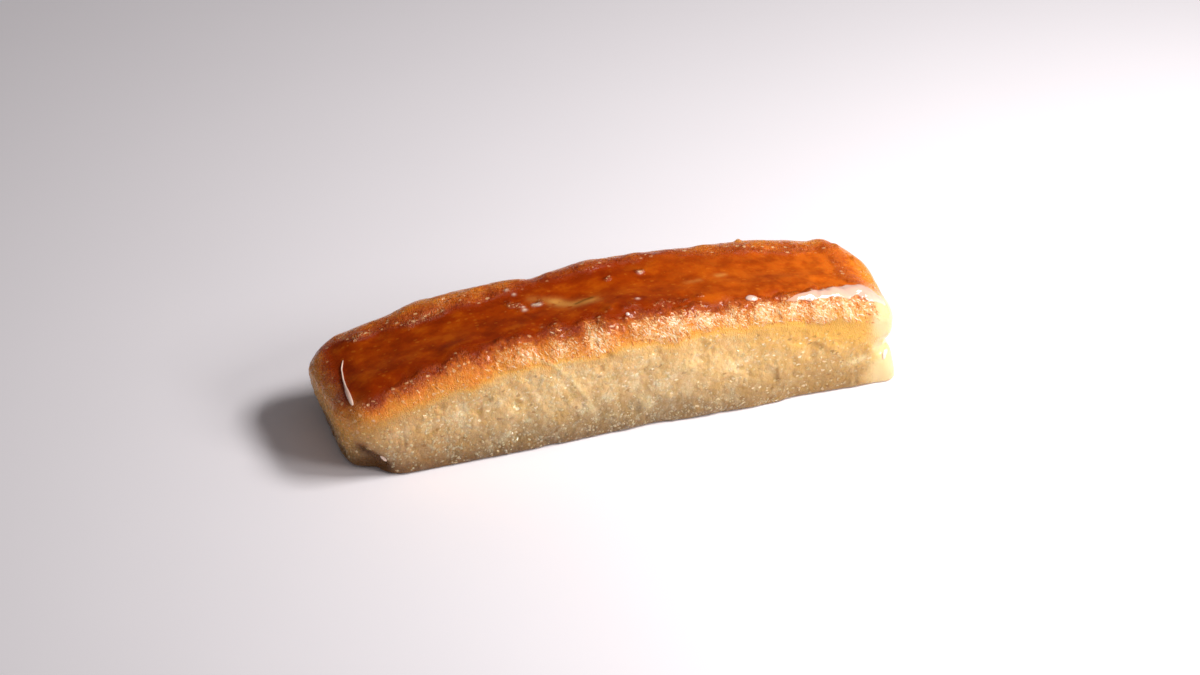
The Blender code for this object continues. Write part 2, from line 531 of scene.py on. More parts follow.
def vertex_normals(points: np.ndarray, quads: np.ndarray, triangles: np.ndarray) -> np.ndarray:
    """Unit normals: the cross products of quads' diagonals and triangles' edges, summed at each corner.

    Args:
        points: places in millimetres, one row each.
        quads: the four-sided faces.
        triangles: the three-sided faces.

    Returns:
        One unit vector for each point.
    """
    total = np.zeros_like(points)
    for faces, (a, b), (c, d) in ((quads, (0, 2), (1, 3)), (triangles, (0, 1), (0, 2))):
        first = points[faces[:, b]] - points[faces[:, a]]
        second = points[faces[:, d]] - points[faces[:, c]]
        face = np.cross(first, second)
        for corner in faces.T:
            for axis in range(3):
                total[:, axis] += np.bincount(corner, face[:, axis], len(points))
    return unit_rows(total)


def make_piece(
    name: str,
    points: np.ndarray,
    faces: tuple[np.ndarray, ...],
    material: bpy.types.Material,
    marks: dict[str, np.ndarray],
    smooth: bool = True,
) -> bpy.types.Object:
    """Args:
        name: the piece's name.
        points: places in millimetres.
        faces: arrays of faces, each with its own number of corners.
        material: its finish.
        marks: named values at the points, which the material reads.
        smooth: whether the faces are shaded as one round surface.

    Returns:
        The finished object, at the origin.
    """
    mesh = bpy.data.meshes.new(name)
    corners = np.concatenate([part.ravel() for part in faces])
    counts = np.concatenate([np.full(len(part), part.shape[1]) for part in faces])
    mesh.vertices.add(len(points))
    mesh.vertices.foreach_set("co", (points * MM).astype(np.float32).ravel())
    mesh.loops.add(len(corners))
    mesh.loops.foreach_set("vertex_index", corners.astype(np.int32))
    mesh.polygons.add(len(counts))
    mesh.polygons.foreach_set("loop_start", (np.cumsum(counts) - counts).astype(np.int32))
    mesh.polygons.foreach_set("loop_total", counts.astype(np.int32))
    mesh.polygons.foreach_set("use_smooth", np.full(len(counts), smooth))
    for mark, values in marks.items():
        made = mesh.attributes.new(mark, "FLOAT", "POINT")
        made.data.foreach_set("value", np.asarray(values, np.float32))
    mesh.update(calc_edges=True)
    mesh.validate()
    mesh.materials.append(material)
    piece = bpy.data.objects.new(name, mesh)
    bpy.context.scene.collection.objects.link(piece)
    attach(piece, "root")
    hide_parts("pastry_bar")
    LOG.info("%s: %d points, %d faces", name, len(points), len(counts))
    return piece


# Node tools and the finishes' node groups


class Nodes:
    """A short way to add and link nodes in one tree."""

    def __init__(self, tree: bpy.types.NodeTree) -> None:
        """Keeps the tree."""
        self.tree = tree

    def put(self, socket: Socket, value: object) -> None:
        """Links the socket from another one, or sets its value.

        Args:
            socket: the input to set.
            value: a socket to link, or a plain value.
        """
        if isinstance(value, Socket):
            self.tree.links.new(value, socket)
        else:
            socket.default_value = value

    def add(
        self, kind: str, inputs: dict[str | int, object] | None = None, **settings: object
    ) -> bpy.types.Node:
        """Adds a node, sets its properties, and sets or links its inputs.

        Args:
            kind: the node's type, without the ShaderNode prefix.
            inputs: value or socket for each named or numbered input.
            settings: properties of the node.

        Returns:
            The new node.
        """
        node = self.tree.nodes.new("ShaderNode" + kind)
        for key, value in settings.items():
            setattr(node, key, value)
        for key, value in (inputs or {}).items():
            self.put(node.inputs[key], value)
        return node

    def math(self, operation: str, first: object, *others: object) -> Socket:
        """The values brought together by one operation, from the first on.

        Args:
            operation: the operation's name.
            first: one socket or number.
            others: the ones that follow.

        Returns:
            The result, or the first one itself where no other follows.
        """
        for value in others:
            first = self.add("Math", {0: first, 1: value}, operation=operation).outputs[0]
        return first

    def times(self, *values: object) -> Socket:
        """The product of the values."""
        return self.math("MULTIPLY", *values)

    def plus(self, *values: object) -> Socket:
        """The sum of the values."""
        return self.math("ADD", *values)

    def most(self, *values: object) -> Socket:
        """The greatest of the values."""
        return self.math("MAXIMUM", *values)

    def rest(self, value: object) -> Socket:
        """1 minus the value."""
        return self.math("SUBTRACT", 1.0, value)

    def vector(self, operation: str, first: object, second: object) -> Socket:
        """One arithmetic step on vectors."""
        return self.add("VectorMath", {0: first, 1: second}, operation=operation).outputs[0]

    def blend(self, share: object, first: object, second: object) -> Socket:
        """first at share 0 and second at share 1, as colours.

        Args:
            share: one socket or number.
            first: a colour or a socket.
            second: a colour or a socket.

        Returns:
            The mixed colour.
        """
        node = self.add("Mix", {0: share}, data_type="RGBA")
        for key, value in ((6, first), (7, second)):
            self.put(node.inputs[key], (*value, 1.0) if isinstance(value, tuple) else value)
        return node.outputs[2]

    def between(self, share: object, first: object, second: object) -> Socket:
        """first at share 0 and second at share 1, as numbers."""
        return self.add("Mix", {0: share, 2: first, 3: second}, data_type="FLOAT").outputs[0]

    def fit(self, value: object, step: Step) -> Socket:
        """The smooth step's result at the value."""
        given = {0: value, 1: step.low, 2: step.high, 3: step.before, 4: step.after}
        return self.add("MapRange", given, interpolation_type="SMOOTHSTEP").outputs[0]

    def ramp(self, value: object, stops: tuple[tuple[float, Colour], ...]) -> Socket:
        """A colour for each value, through the given stops.

        Args:
            value: one socket or number.
            stops: places from 0 to 1 and their colours, in order.

        Returns:
            The colour found.
        """
        node = self.add("ValToRGB", {0: value})
        elements = node.color_ramp.elements
        while len(elements) > 1:
            elements.remove(elements[-1])
        elements[0].position, elements[0].color = stops[0][0], (*stops[0][1], 1.0)
        for position, colour in stops[1:]:
            elements.new(position).color = (*colour, 1.0)
        return node.outputs[0]

    def marks(self, *names: str) -> tuple[Socket, ...]:
        """The piece's own values of those names."""
        return tuple(
            self.add("Attribute", attribute_name=name, attribute_type="GEOMETRY").outputs["Fac"]
            for name in names
        )

    def millimetres(self) -> Socket:
        """The piece's own coordinates, in millimetres."""
        return self.stretched(self.add("TexCoord").outputs["Object"], (1.0 / MM,) * 3)

    def stretched(self, place: object, scale: Point, turn: Point = (0.0, 0.0, 0.0)) -> Socket:
        """The coordinates turned, and drawn out where the scale is below 1."""
        return self.add("Mapping", {"Vector": place, "Scale": scale, "Rotation": turn}).outputs[0]

    def noise(self, place: object, size: object, detail: float = 2.0, roughness: float = 0.5) -> Socket:
        """Cloudy values from 0 to 1, with patches of about that size in millimetres.

        Args:
            place: the coordinates, in millimetres.
            size: size of the patches.
            detail: how many finer layers are added.
            roughness: how strong those are.

        Returns:
            The noise's value.
        """
        scale = self.math("DIVIDE", 1.0, size) if isinstance(size, Socket) else 1.0 / size
        given = {"Vector": place, "Scale": scale, "Detail": detail, "Roughness": roughness}
        return self.add("TexNoise", given).outputs["Fac"]

    def cells(self, place: object, scale: object) -> tuple[Socket, list[Socket]]:
        """The distance to the nearest random cell's centre, and that cell's own random numbers."""
        found = self.add("TexVoronoi", {"Vector": place, "Scale": scale, "Randomness": 1.0}).outputs
        return found["Distance"], self.add("SeparateColor", {0: found["Color"]}).outputs

    def group(self, effect: Effect, **values: object) -> dict[str, Socket]:
        """Places a shared group with its own values, and gives its outputs by name.

        Args:
            effect: which group.
            values: value or socket for each of its inputs.

        Returns:
            The outputs by name.
        """
        node = self.tree.nodes.new("ShaderNodeGroup")
        node.node_tree = bpy.data.node_groups[effect.value]
        for key, value in values.items():
            self.put(node.inputs[key.replace("_", " ")], value)
        return {output.name: output for output in node.outputs}


class Effect(Enum):
    """The node groups that the finishes use; the bake colour serves several."""

    GRAIN = "wet_grain"
    BAKE = "bake_colour"
    CRINKLE = "baked_crinkle"


class Kind(Enum):
    """The kinds of socket that the groups have."""

    NUMBER = "NodeSocketFloat"
    VECTOR = "NodeSocketVector"
    COLOUR = "NodeSocketColor"


@dataclass(frozen=True)
class Dots:
    """Small dots in the wet grain: their size, their pattern's shift, their edge, and the share left out."""

    name: str
    size: float
    shift: float
    edge: float
    left_out: float


@dataclass(frozen=True)
class Effects:
    """Builds each shared group once."""

    bake_stops: tuple[tuple[float, Colour], ...] = (
        # The lowest stops, at the foot of the wall, are darker: painted shade towards the foot
        (0.000, linear(140, 108, 66)),
        (0.035, linear(190, 153, 98)),
        (0.085, linear(218, 179, 122)),
        (0.160, linear(228, 186, 124)),
        (0.200, linear(235, 184, 112)),
        (0.240, linear(238, 186, 112)),
        (0.310, linear(247, 182, 88)),
        (0.400, linear(249, 162, 58)),
        (0.490, linear(238, 134, 36)),
        (0.560, linear(196, 88, 18)),
        (0.625, linear(152, 51, 4)),
        (0.800, linear(146, 45, 1)),
        (1.000, linear(162, 57, 1)),
    )
    top_light: Colour = linear(206, 98, 10)
    top_dark: Colour = linear(116, 29, 1)
    crumb_light: Colour = linear(244, 222, 176)
    crumb_syrup: Colour = linear(200, 156, 82)
    # Laid where the sun mark is: a golden tone on the right, partly real and partly painted warm light from
    # the right
    golden: Colour = linear(238, 178, 76)
    shade: Colour = linear(110, 86, 56)
    drift_stretch: Point = (0.8, 1.05, 1.0)
    drift_noise: tuple[float, float, float] = (4.6, 4.0, 0.6)
    speckle_noise: tuple[float, float, float] = (0.8, 3.0, 0.65)
    patch_noise: tuple[float, float, float] = (3.4, 3.0, 0.55)
    drift_share: float = 0.22
    speckle_share: float = 0.16
    clouded: Step = Step(0.16, 0.34, 0.35, 1.0)
    on_top: Step = Step(0.60, 0.80)
    top_lighter: Step = Step(0.46, 0.72, 0.0, 0.5)
    top_darker: Step = Step(0.50, 0.32, 0.0, 0.5)
    in_crumb: Step = Step(0.24, 0.14)
    patch_soaked: Step = Step(0.50, 0.34, 0.0, 0.55)
    patch_drier: Step = Step(0.52, 0.66, 0.0, 0.50)
    grain_drier: Step = Step(0.7, 1.0, 0.0, 0.14)
    grain_soaked: Step = Step(0.3, 0.0, 0.0, 0.12)
    bend_scale: float = 1.3
    bend: float = 0.7
    bend_detail: float = 2.0
    clump_cloud: tuple[float, float] = (3.0, 0.55)
    fine_detail: float = 1.0
    wide_crinkle: tuple[float, float] = (3.0, 0.62)
    narrow_crinkle: tuple[float, float] = (2.0, 0.6)
    dome_power: float = 1.6
    dome_share: float = 0.42
    clump_share: float = 0.7
    fine_share: float = 0.22
    fine_size: float = 0.5
    # Glint dots are painted highlights; Pit_Shade dots are the painted shade of small holes
    dots: tuple[Dots, ...] = (Dots("Glint", 1.3, 3.7, 0.27, 0.38), Dots("Pit_Shade", 1.9, 8.1, 0.26, 0.40))
    dot_stretch: Point = (0.75, 1.0, 1.2)
    dot_turn: Point = (0.0, 0.5, 0.0)
    dot_growth: tuple[float, float] = (0.4, 1.35)
    dot_core: float = 0.65
    crinkle_stretch: Point = (1.5, 0.8, 0.8)
    crinkle_turn: Point = (0.0, 0.5, 0.25)
    crinkle_fine: float = 0.42
    ridge_steepness: float = 4.0
    ridge_share: float = 0.55
    crinkle_fine_share: float = 0.8

    @staticmethod
    def start(
        effect: Effect, inputs: dict[str, Kind], outputs: dict[str, Kind]
    ) -> tuple[Nodes, dict[str, Socket], dict[str, Socket]]:
        """Starts a shared group with named sockets.

        Args:
            effect: which effect it is.
            inputs: kind of each named input.
            outputs: kind of each named output.

        Returns:
            Its node tools, its input sockets by name, and its output node's sockets by name.
        """
        tree = bpy.data.node_groups.new(effect.value, "ShaderNodeTree")
        for side, kinds in (("INPUT", inputs), ("OUTPUT", outputs)):
            for name, kind in kinds.items():
                tree.interface.new_socket(name=name, in_out=side, socket_type=kind.value)
        entry, leave = tree.nodes.new("NodeGroupInput"), tree.nodes.new("NodeGroupOutput")
        given = {name: entry.outputs[name] for name in inputs}
        return Nodes(tree), given, {name: leave.inputs[name] for name in outputs}

    def build(self) -> None:
        """Makes the three groups."""
        self.grain()
        self.bake()
        self.crinkle()

    def grain(self) -> None:
        """Wet grain: its height from packed cells and clumps, each grain's tone, and dots for painted glints
        and painted pit shade.
        """
        nodes, given, made = self.start(
            Effect.GRAIN,
            {"Place": Kind.VECTOR, "Grain Size": Kind.NUMBER, "Clump Size": Kind.NUMBER},
            dict.fromkeys(("Height", "Tone", "Glint", "Pit_Shade"), Kind.NUMBER),
        )
        cloud = {"Vector": given["Place"], "Scale": self.bend_scale, "Detail": self.bend_detail}
        bend = nodes.vector("MULTIPLY", nodes.add("TexNoise", cloud).outputs["Color"], (self.bend,) * 3)
        place = nodes.vector("ADD", given["Place"], bend)
        away, own = nodes.cells(place, nodes.math("DIVIDE", 1.0, given["Grain Size"]))
        dome = nodes.rest(nodes.math("POWER", away, self.dome_power))
        clump = nodes.noise(place, given["Clump Size"], *self.clump_cloud)
        fine = nodes.noise(place, nodes.times(given["Grain Size"], self.fine_size), self.fine_detail)
        parts = ((dome, self.dome_share), (clump, self.clump_share), (fine, self.fine_share))
        nodes.put(made["Height"], nodes.plus(*(nodes.times(part, share) for part, share in parts)))
        nodes.put(made["Tone"], own[0])
        drawn_out = nodes.stretched(place, self.dot_stretch, self.dot_turn)
        for dots in self.dots:
            away, own = nodes.cells(nodes.vector("ADD", drawn_out, (dots.shift,) * 3), 1.0 / dots.size)
            away = nodes.math("DIVIDE", away, nodes.between(own[0], *self.dot_growth))
            spot = nodes.fit(away, Step(dots.edge, dots.edge * self.dot_core))
            nodes.put(made[dots.name], nodes.times(spot, nodes.math("GREATER_THAN", own[1], dots.left_out)))

    def bake(self) -> None:
        """The baked colour: a clouded ramp from damp crumb to dark crust, then painted warm light and painted
        shade.
        """
        nodes, given, made = self.start(
            Effect.BAKE,
            {"Place": Kind.VECTOR} | dict.fromkeys(("Level", "Tone", "Sun", "Shade"), Kind.NUMBER),
            {"Colour": Kind.COLOUR},
        )
        place, level, tone = given["Place"], given["Level"], given["Tone"]
        drift = nodes.noise(nodes.stretched(place, self.drift_stretch), *self.drift_noise)
        speckle = nodes.noise(place, *self.speckle_noise)
        patch = nodes.noise(place, *self.patch_noise)
        clouds = ((drift, self.drift_share), (speckle, self.speckle_share))
        cloud = nodes.plus(*(nodes.times(nodes.plus(noise, -0.5), share) for noise, share in clouds))
        top, crumb = nodes.fit(level, self.on_top), nodes.fit(level, self.in_crumb)
        colour = nodes.plus(level, nodes.times(cloud, nodes.fit(level, self.clouded)))
        colour = nodes.ramp(colour, self.bake_stops)
        for where, pattern, step, over in (
            (top, drift, self.top_lighter, self.top_light),
            (top, drift, self.top_darker, self.top_dark),
            (crumb, patch, self.patch_soaked, self.crumb_syrup),
            (crumb, patch, self.patch_drier, self.crumb_light),
            (crumb, tone, self.grain_drier, self.crumb_light),
            (crumb, tone, self.grain_soaked, self.crumb_syrup),
        ):
            colour = nodes.blend(nodes.times(where, nodes.fit(pattern, step)), colour, over)
        # Painted warm light on the right (Sun), then painted shade towards the foot of the wall (Shade)
        colour = nodes.blend(given["Sun"], colour, self.golden)
        nodes.put(made["Colour"], nodes.blend(given["Shade"], colour, self.shade))

    def crinkle(self) -> None:
        """Fine wrinkles of baked sugar: thin slanted ridges, which are noise folded at its middle."""
        nodes, given, made = self.start(
            Effect.CRINKLE,
            {"Place": Kind.VECTOR, "Size": Kind.NUMBER},
            {"Height": Kind.NUMBER},
        )
        place = nodes.stretched(given["Place"], self.crinkle_stretch, self.crinkle_turn)
        wide = nodes.noise(place, given["Size"], *self.wide_crinkle)
        fine = nodes.noise(place, nodes.times(given["Size"], self.crinkle_fine), *self.narrow_crinkle)
        folded = nodes.times(nodes.plus(wide, -0.5), self.ridge_steepness)
        ridge = nodes.rest(nodes.add("Math", {0: folded}, operation="ABSOLUTE").outputs[0])
        ridge = nodes.times(ridge, self.ridge_share)
        nodes.put(made["Height"], nodes.plus(ridge, nodes.times(fine, self.crinkle_fine_share)))


# Finishes


@dataclass(frozen=True)
class Finish:
    """What every finish of the bar has: its name and the values that are the same all over it."""

    name: str
    subsurface: float = 0.0
    subsurface_scale: float = 0.0010
    subsurface_radius: Colour = (1.0, 0.45, 0.18)
    coat: float = 0.0
    coat_roughness: float = 0.1
    ior: float = 1.42
    bump_strength: float = 0.6
    bump_depth: float = 0.0001
    uneven: tuple[float, float, float] = (0.3, 2.0, 0.6)
    roughness: Step = Step(0.3, 0.7, 0.16, 0.34)

    def start(self) -> tuple[bpy.types.Material, Nodes, bpy.types.Node]:
        """A new material, its node tools, and its shader with the constant values set.

        Returns:
            The material, its node tools and its shader.
        """
        material = bpy.data.materials.new(self.name)
        material.use_nodes = True
        shader = material.node_tree.nodes["Principled BSDF"]
        for name, value in (
            ("Subsurface Weight", self.subsurface),
            ("Subsurface Scale", self.subsurface_scale),
            ("Subsurface Radius", self.subsurface_radius),
            ("Coat Weight", self.coat),
            ("Coat Roughness", self.coat_roughness),
            ("IOR", self.ior),
        ):
            shader.inputs[name].default_value = value
        return material, Nodes(material.node_tree), shader

    def dress(
        self, nodes: Nodes, shader: bpy.types.Node, colour: Socket, height: Socket, roughness: Socket
    ) -> None:
        """Feeds the shader its colour, the normal of its bump, and its roughness.

        Args:
            nodes: the material's node tools.
            shader: its shader.
            colour: the base colour.
            height: the height that the bump reads.
            roughness: the roughness.
        """
        given = {"Strength": self.bump_strength, "Distance": self.bump_depth, "Height": height}
        normal = nodes.add("Bump", given).outputs[0]
        for name, value in (("Base Color", colour), ("Normal", normal), ("Roughness", roughness)):
            nodes.put(shader.inputs[name], value)

    def make(self) -> bpy.types.Material:
        """Builds the material: its own colour, and an uneven surface whose shine changes with its height.

        Returns:
            The finished material.
        """
        material, nodes, shader = self.start()
        place = nodes.millimetres()
        height = nodes.noise(place, *self.uneven)
        self.dress(nodes, shader, self.colour(nodes, place), height, nodes.fit(height, self.roughness))
        return material

    def colour(self, nodes: Nodes, place: Socket) -> Socket:
        """The finish's colour at each place, which each kind of finish gives."""
        raise NotImplementedError


@dataclass(frozen=True)
class SkinFinish(Finish):
    """The bar's own surface, from pale crumb through the golden strip to the dark glazed top."""

    name: str = "baked_pastry_skin"
    subsurface: float = 0.3
    ior: float = 1.38
    bump_strength: float = 1.0
    bump_depth: float = 0.0006
    # cream_and_highlight: the creamy coat at the front right corner, partly painted highlight, and painted
    # highlights on fold edges
    cream_and_highlight: Colour = linear(232, 206, 150)
    # sugar_and_highlight_colour: pale sugar on the crinkles' crests, partly real sugar and partly painted
    # highlight
    sugar_and_highlight_colour: Colour = linear(255, 207, 146)
    # gap_shade_colour: painted shade in the hollows of the crinkles
    gap_shade_colour: Colour = linear(206, 94, 24)
    pale_colour: Colour = linear(216, 148, 70)
    # amber_and_shade_colour: real amber at the front left corner, and painted shade over the left, which lies
    # farther from the lamps
    amber_and_shade_colour: Colour = linear(162, 100, 36)
    # deep_shade_colour: painted shade in the chip's hollow, in crevices and slits, and at the foot
    deep_shade_colour: Colour = linear(92, 54, 4)
    # warm_and_lit_colour: lighter orange on the ridge towards the right, partly real browning and partly
    # painted light from the right
    warm_and_lit_colour: Colour = linear(236, 116, 26)
    # hollow_shade_colour: painted shade in the hollows between grains
    hollow_shade_colour: Colour = linear(200, 144, 66)
    glint_colour: Colour = linear(255, 236, 192)
    rim_glint_colour: Colour = linear(252, 192, 136)
    sparkle_colour: Colour = linear(255, 226, 200)
    # speck_glint_colour: painted glints on the glaze
    speck_glint_colour: Colour = linear(232, 138, 40)
    # hole_shade_colour: painted shade of small holes in the crumb
    hole_shade_colour: Colour = linear(136, 90, 34)
    grain_size: float = 0.9
    clump_size: float = 1.8
    crinkle_size: float = 0.8
    hollow_shading: Step = Step(0.58, 0.38, 0.0, 0.34)
    gap_shading: Step = Step(0.58, 0.30, 0.0, 0.36)
    hole_shade_share: float = 0.5
    speck_share: float = 0.18
    mottle_noise: tuple[float, float, float] = (3.6, 3.0, 0.6)
    mottle: Step = Step(0.40, 0.62, 0.50, 1.12)
    crest_lift: float = 0.34
    crests: Step = Step(0.98, 1.18)
    sugared: Step = Step(0.0, 0.5)
    sugar_share: float = 0.92
    crest_glint: float = 0.9
    torn_noise: tuple[float, float, float] = (1.6, 2.0, 0.5)
    torn: Step = Step(0.20, 0.50)
    rim_glint: float = 0.85
    rim_shine: float = 0.8
    cluster_noise: tuple[float, float] = (2.8, 2.0)
    clusters: Step = Step(0.42, 0.58, 0.40, 1.0)
    in_amber_and_shade: Step = Step(0.0, 0.36, 1.0, 0.3)
    in_shade: Step = Step(0.0, 0.5, 1.0, 0.6)
    glint_share: float = 0.95
    crumb_bump: float = 0.5
    band_bump: float = 0.8
    ripple_noise: tuple[float, float] = (3.2, 1.0)
    ripple_bump: float = 0.05
    damp_noise: tuple[float, float] = (1.2, 3.0)
    damp: Step = Step(0.35, 0.65, 0.22, 0.48)
    glint_roughness: float = 0.1
    glaze_roughness: float = 0.16
    film_coat: float = 0.8
    crumb_coat: float = 0.25
    rough_coat: float = 0.25
    gloss_coat: float = 0.15

    def make(self) -> bpy.types.Material:
        """Builds the material: baked colours, grain in the crumb, crinkles and sugar, and gloss on top.

        Returns:
            The finished material.
        """
        material, nodes, shader = self.start()
        place = nodes.millimetres()
        sizes = {"Grain_Size": self.grain_size, "Clump_Size": self.clump_size}
        grain = nodes.group(Effect.GRAIN, Place=place, **sizes)
        crinkle = nodes.group(Effect.CRINKLE, Place=place, Size=self.crinkle_size)["Height"]
        level, sun, shade, crumb, band, gloss = nodes.marks("level", "sun", "shade", "crumb", "band", "gloss")
        sugar, film, rough, warm_and_lit, pale = nodes.marks("sugar", "film", "rough", "warm_and_lit", "pale")
        amber_and_shade, cream_and_highlight, sparkle, deep_shade = nodes.marks("amber_and_shade", "cream_and_highlight", "sparkle", "deep_shade")
        bright = grain["Glint"]
        mottle = nodes.fit(nodes.noise(place, *self.mottle_noise), self.mottle)
        crest = nodes.fit(nodes.plus(crinkle, nodes.times(sugar, self.crest_lift)), self.crests)
        crest = nodes.times(crest, nodes.fit(sugar, self.sugared))
        torn = nodes.fit(nodes.noise(place, *self.torn_noise), self.torn)
        cluster = nodes.fit(nodes.noise(place, *self.cluster_noise), self.clusters)
        cluster = nodes.times(cluster, nodes.fit(amber_and_shade, self.in_amber_and_shade), nodes.fit(shade, self.in_shade))
        # 1 outside the painted shade of the deep mark, where glints and coat may show
        outside_deep_shade = nodes.rest(deep_shade)
        glint = nodes.times(bright, crumb, cluster, outside_deep_shade)
        local = {"Place": place, "Level": level, "Sun": sun, "Shade": shade}
        colour = nodes.group(Effect.BAKE, Tone=grain["Tone"], **local)["Colour"]
        for share, over in (
            # painted shade in the hollows between grains
            (nodes.times(crumb, nodes.fit(grain["Height"], self.hollow_shading)), self.hollow_shade_colour),
            # painted shade of small holes
            (nodes.times(crumb, grain["Pit_Shade"], self.hole_shade_share), self.hole_shade_colour),
            # painted glints on the glaze
            (nodes.times(gloss, bright, self.speck_share), self.speck_glint_colour),
            # lighter orange towards the right: partly real browning, partly painted light from the right
            (nodes.times(warm_and_lit, mottle), self.warm_and_lit_colour),
            # painted shade in the crinkles' hollows
            (nodes.times(band, nodes.fit(crinkle, self.gap_shading)), self.gap_shade_colour),
            # pale crests: partly real sugar, partly painted highlight
            (nodes.times(crest, self.sugar_share), self.sugar_and_highlight_colour),
            (nodes.times(crest, bright, self.crest_glint), self.glint_colour),
            (nodes.times(pale, torn), self.pale_colour),
            # amber at the front left, partly painted shade, and painted shade across the left
            (amber_and_shade, self.amber_and_shade_colour),
            # creamy corner, partly painted highlight, and painted highlights along the folds
            (cream_and_highlight, self.cream_and_highlight),
            (sparkle, self.sparkle_colour),
            (nodes.times(bright, rough, self.rim_glint), self.rim_glint_colour),
            (nodes.times(glint, self.glint_share), self.glint_colour),
            # painted shade in the chip's hollow, crevices and slits, and towards the foot
            (deep_shade, self.deep_shade_colour),
        ):
            colour = nodes.blend(share, colour, over)
        glint = nodes.most(glint, nodes.times(bright, rough, self.rim_shine))
        crinkled = nodes.most(band, nodes.times(rough, self.rim_shine))
        height = nodes.plus(
            nodes.times(grain["Height"], crumb, self.crumb_bump),
            nodes.times(crinkle, crinkled, self.band_bump),
            nodes.times(nodes.noise(place, *self.ripple_noise), gloss, self.ripple_bump),
        )
        damp = nodes.fit(nodes.noise(place, *self.damp_noise), self.damp)
        damp = nodes.between(glint, damp, self.glint_roughness)
        damp = nodes.between(nodes.most(gloss, film), damp, self.glaze_roughness)
        self.dress(nodes, shader, colour, height, damp)
        wet = nodes.most(
            glint,
            nodes.times(film, self.film_coat),
            nodes.times(crumb, self.crumb_coat),
            nodes.times(rough, self.rough_coat),
            nodes.times(gloss, self.gloss_coat),
        )
        nodes.put(shader.inputs["Coat Weight"], nodes.times(wet, outside_deep_shade))
        return material


@dataclass(frozen=True)
class GrainFinish(Finish):
    """A wet semolina grain, with its place's baked colour, painted warm light and painted shade, or paler by
    its own tone.
    """

    name: str = "wet_semolina"
    subsurface: float = 0.3
    coat: float = 1.0
    coat_roughness: float = 0.06
    ior: float = 1.47
    pale: Colour = linear(255, 228, 180)
    paler: float = 0.28

    def colour(self, nodes: Nodes, place: Socket) -> Socket:
        """The baked colour of its place, with that place's painted warm light and painted shade, and paler
        with its own tone.

        Args:
            nodes: the material's node tools.
            place: the coordinates.

        Returns:
            The colour.
        """
        tone, level, sun, shade = nodes.marks("tone", "level", "sun", "shade")
        local = {"Place": place, "Level": level, "Sun": sun, "Shade": shade}
        colour = nodes.group(Effect.BAKE, Tone=tone, **local)["Colour"]
        return nodes.blend(nodes.times(tone, self.paler), colour, self.pale)


@dataclass(frozen=True)
class FlakeFinish(Finish):
    """A crisp wrinkle of baked sugar on the shoulder, from orange to almost white, the palest partly painted
    highlight.
    """

    name: str = "baked_sugar_flake"
    subsurface: float = 0.1
    ior: float = 1.47
    uneven: tuple[float, float, float] = (0.25, 2.0, 0.6)
    roughness: Step = Step(0.3, 0.7, 0.16, 0.36)
    cloud_noise: tuple[float, float] = (0.6, 2.0)
    cloud_share: float = 0.6
    # The palest tones stand partly for painted highlight on the sugar
    stops: tuple[tuple[float, Colour], ...] = (
        (0.0, linear(206, 104, 30)),
        (0.45, linear(242, 152, 76)),
        (0.75, linear(253, 194, 126)),
        (1.0, linear(255, 224, 188)),
    )

    def colour(self, nodes: Nodes, place: Socket) -> Socket:
        """A colour by its own tone, clouded."""
        cloud = nodes.plus(nodes.noise(place, *self.cloud_noise), -0.5)
        return nodes.ramp(nodes.plus(*nodes.marks("tone"), nodes.times(cloud, self.cloud_share)), self.stops)


@dataclass(frozen=True)
class SyrupFinish(Finish):
    """A bead or film of clear sugar syrup over the crust, with the colour of what lies under it, or a painted
    milky highlight.
    """

    name: str = "sugar_syrup"
    # milky_highlight: a pale colour painted over the syrup where it catches light: painted highlight
    milky_highlight: Colour = linear(255, 224, 204)
    coat: float = 1.0
    coat_roughness: float = 0.03
    ior: float = 1.48
    bump_strength: float = 0.4
    uneven: tuple[float, float] = (1.4, 1.0)
    roughness: Step = Step(0.3, 0.7, 0.05, 0.10)
    tone: float = 0.5

    def colour(self, nodes: Nodes, place: Socket) -> Socket:
        """The baked colour of its place, and a painted milky highlight where its mark says so.

        Args:
            nodes: the material's node tools.
            place: the coordinates.

        Returns:
            The colour.
        """
        level, cream_and_highlight = nodes.marks("level", "cream_and_highlight")
        colour = nodes.group(Effect.BAKE, Place=place, Level=level, Tone=self.tone)["Colour"]
        return nodes.blend(cream_and_highlight, colour, self.milky_highlight)


# The pieces


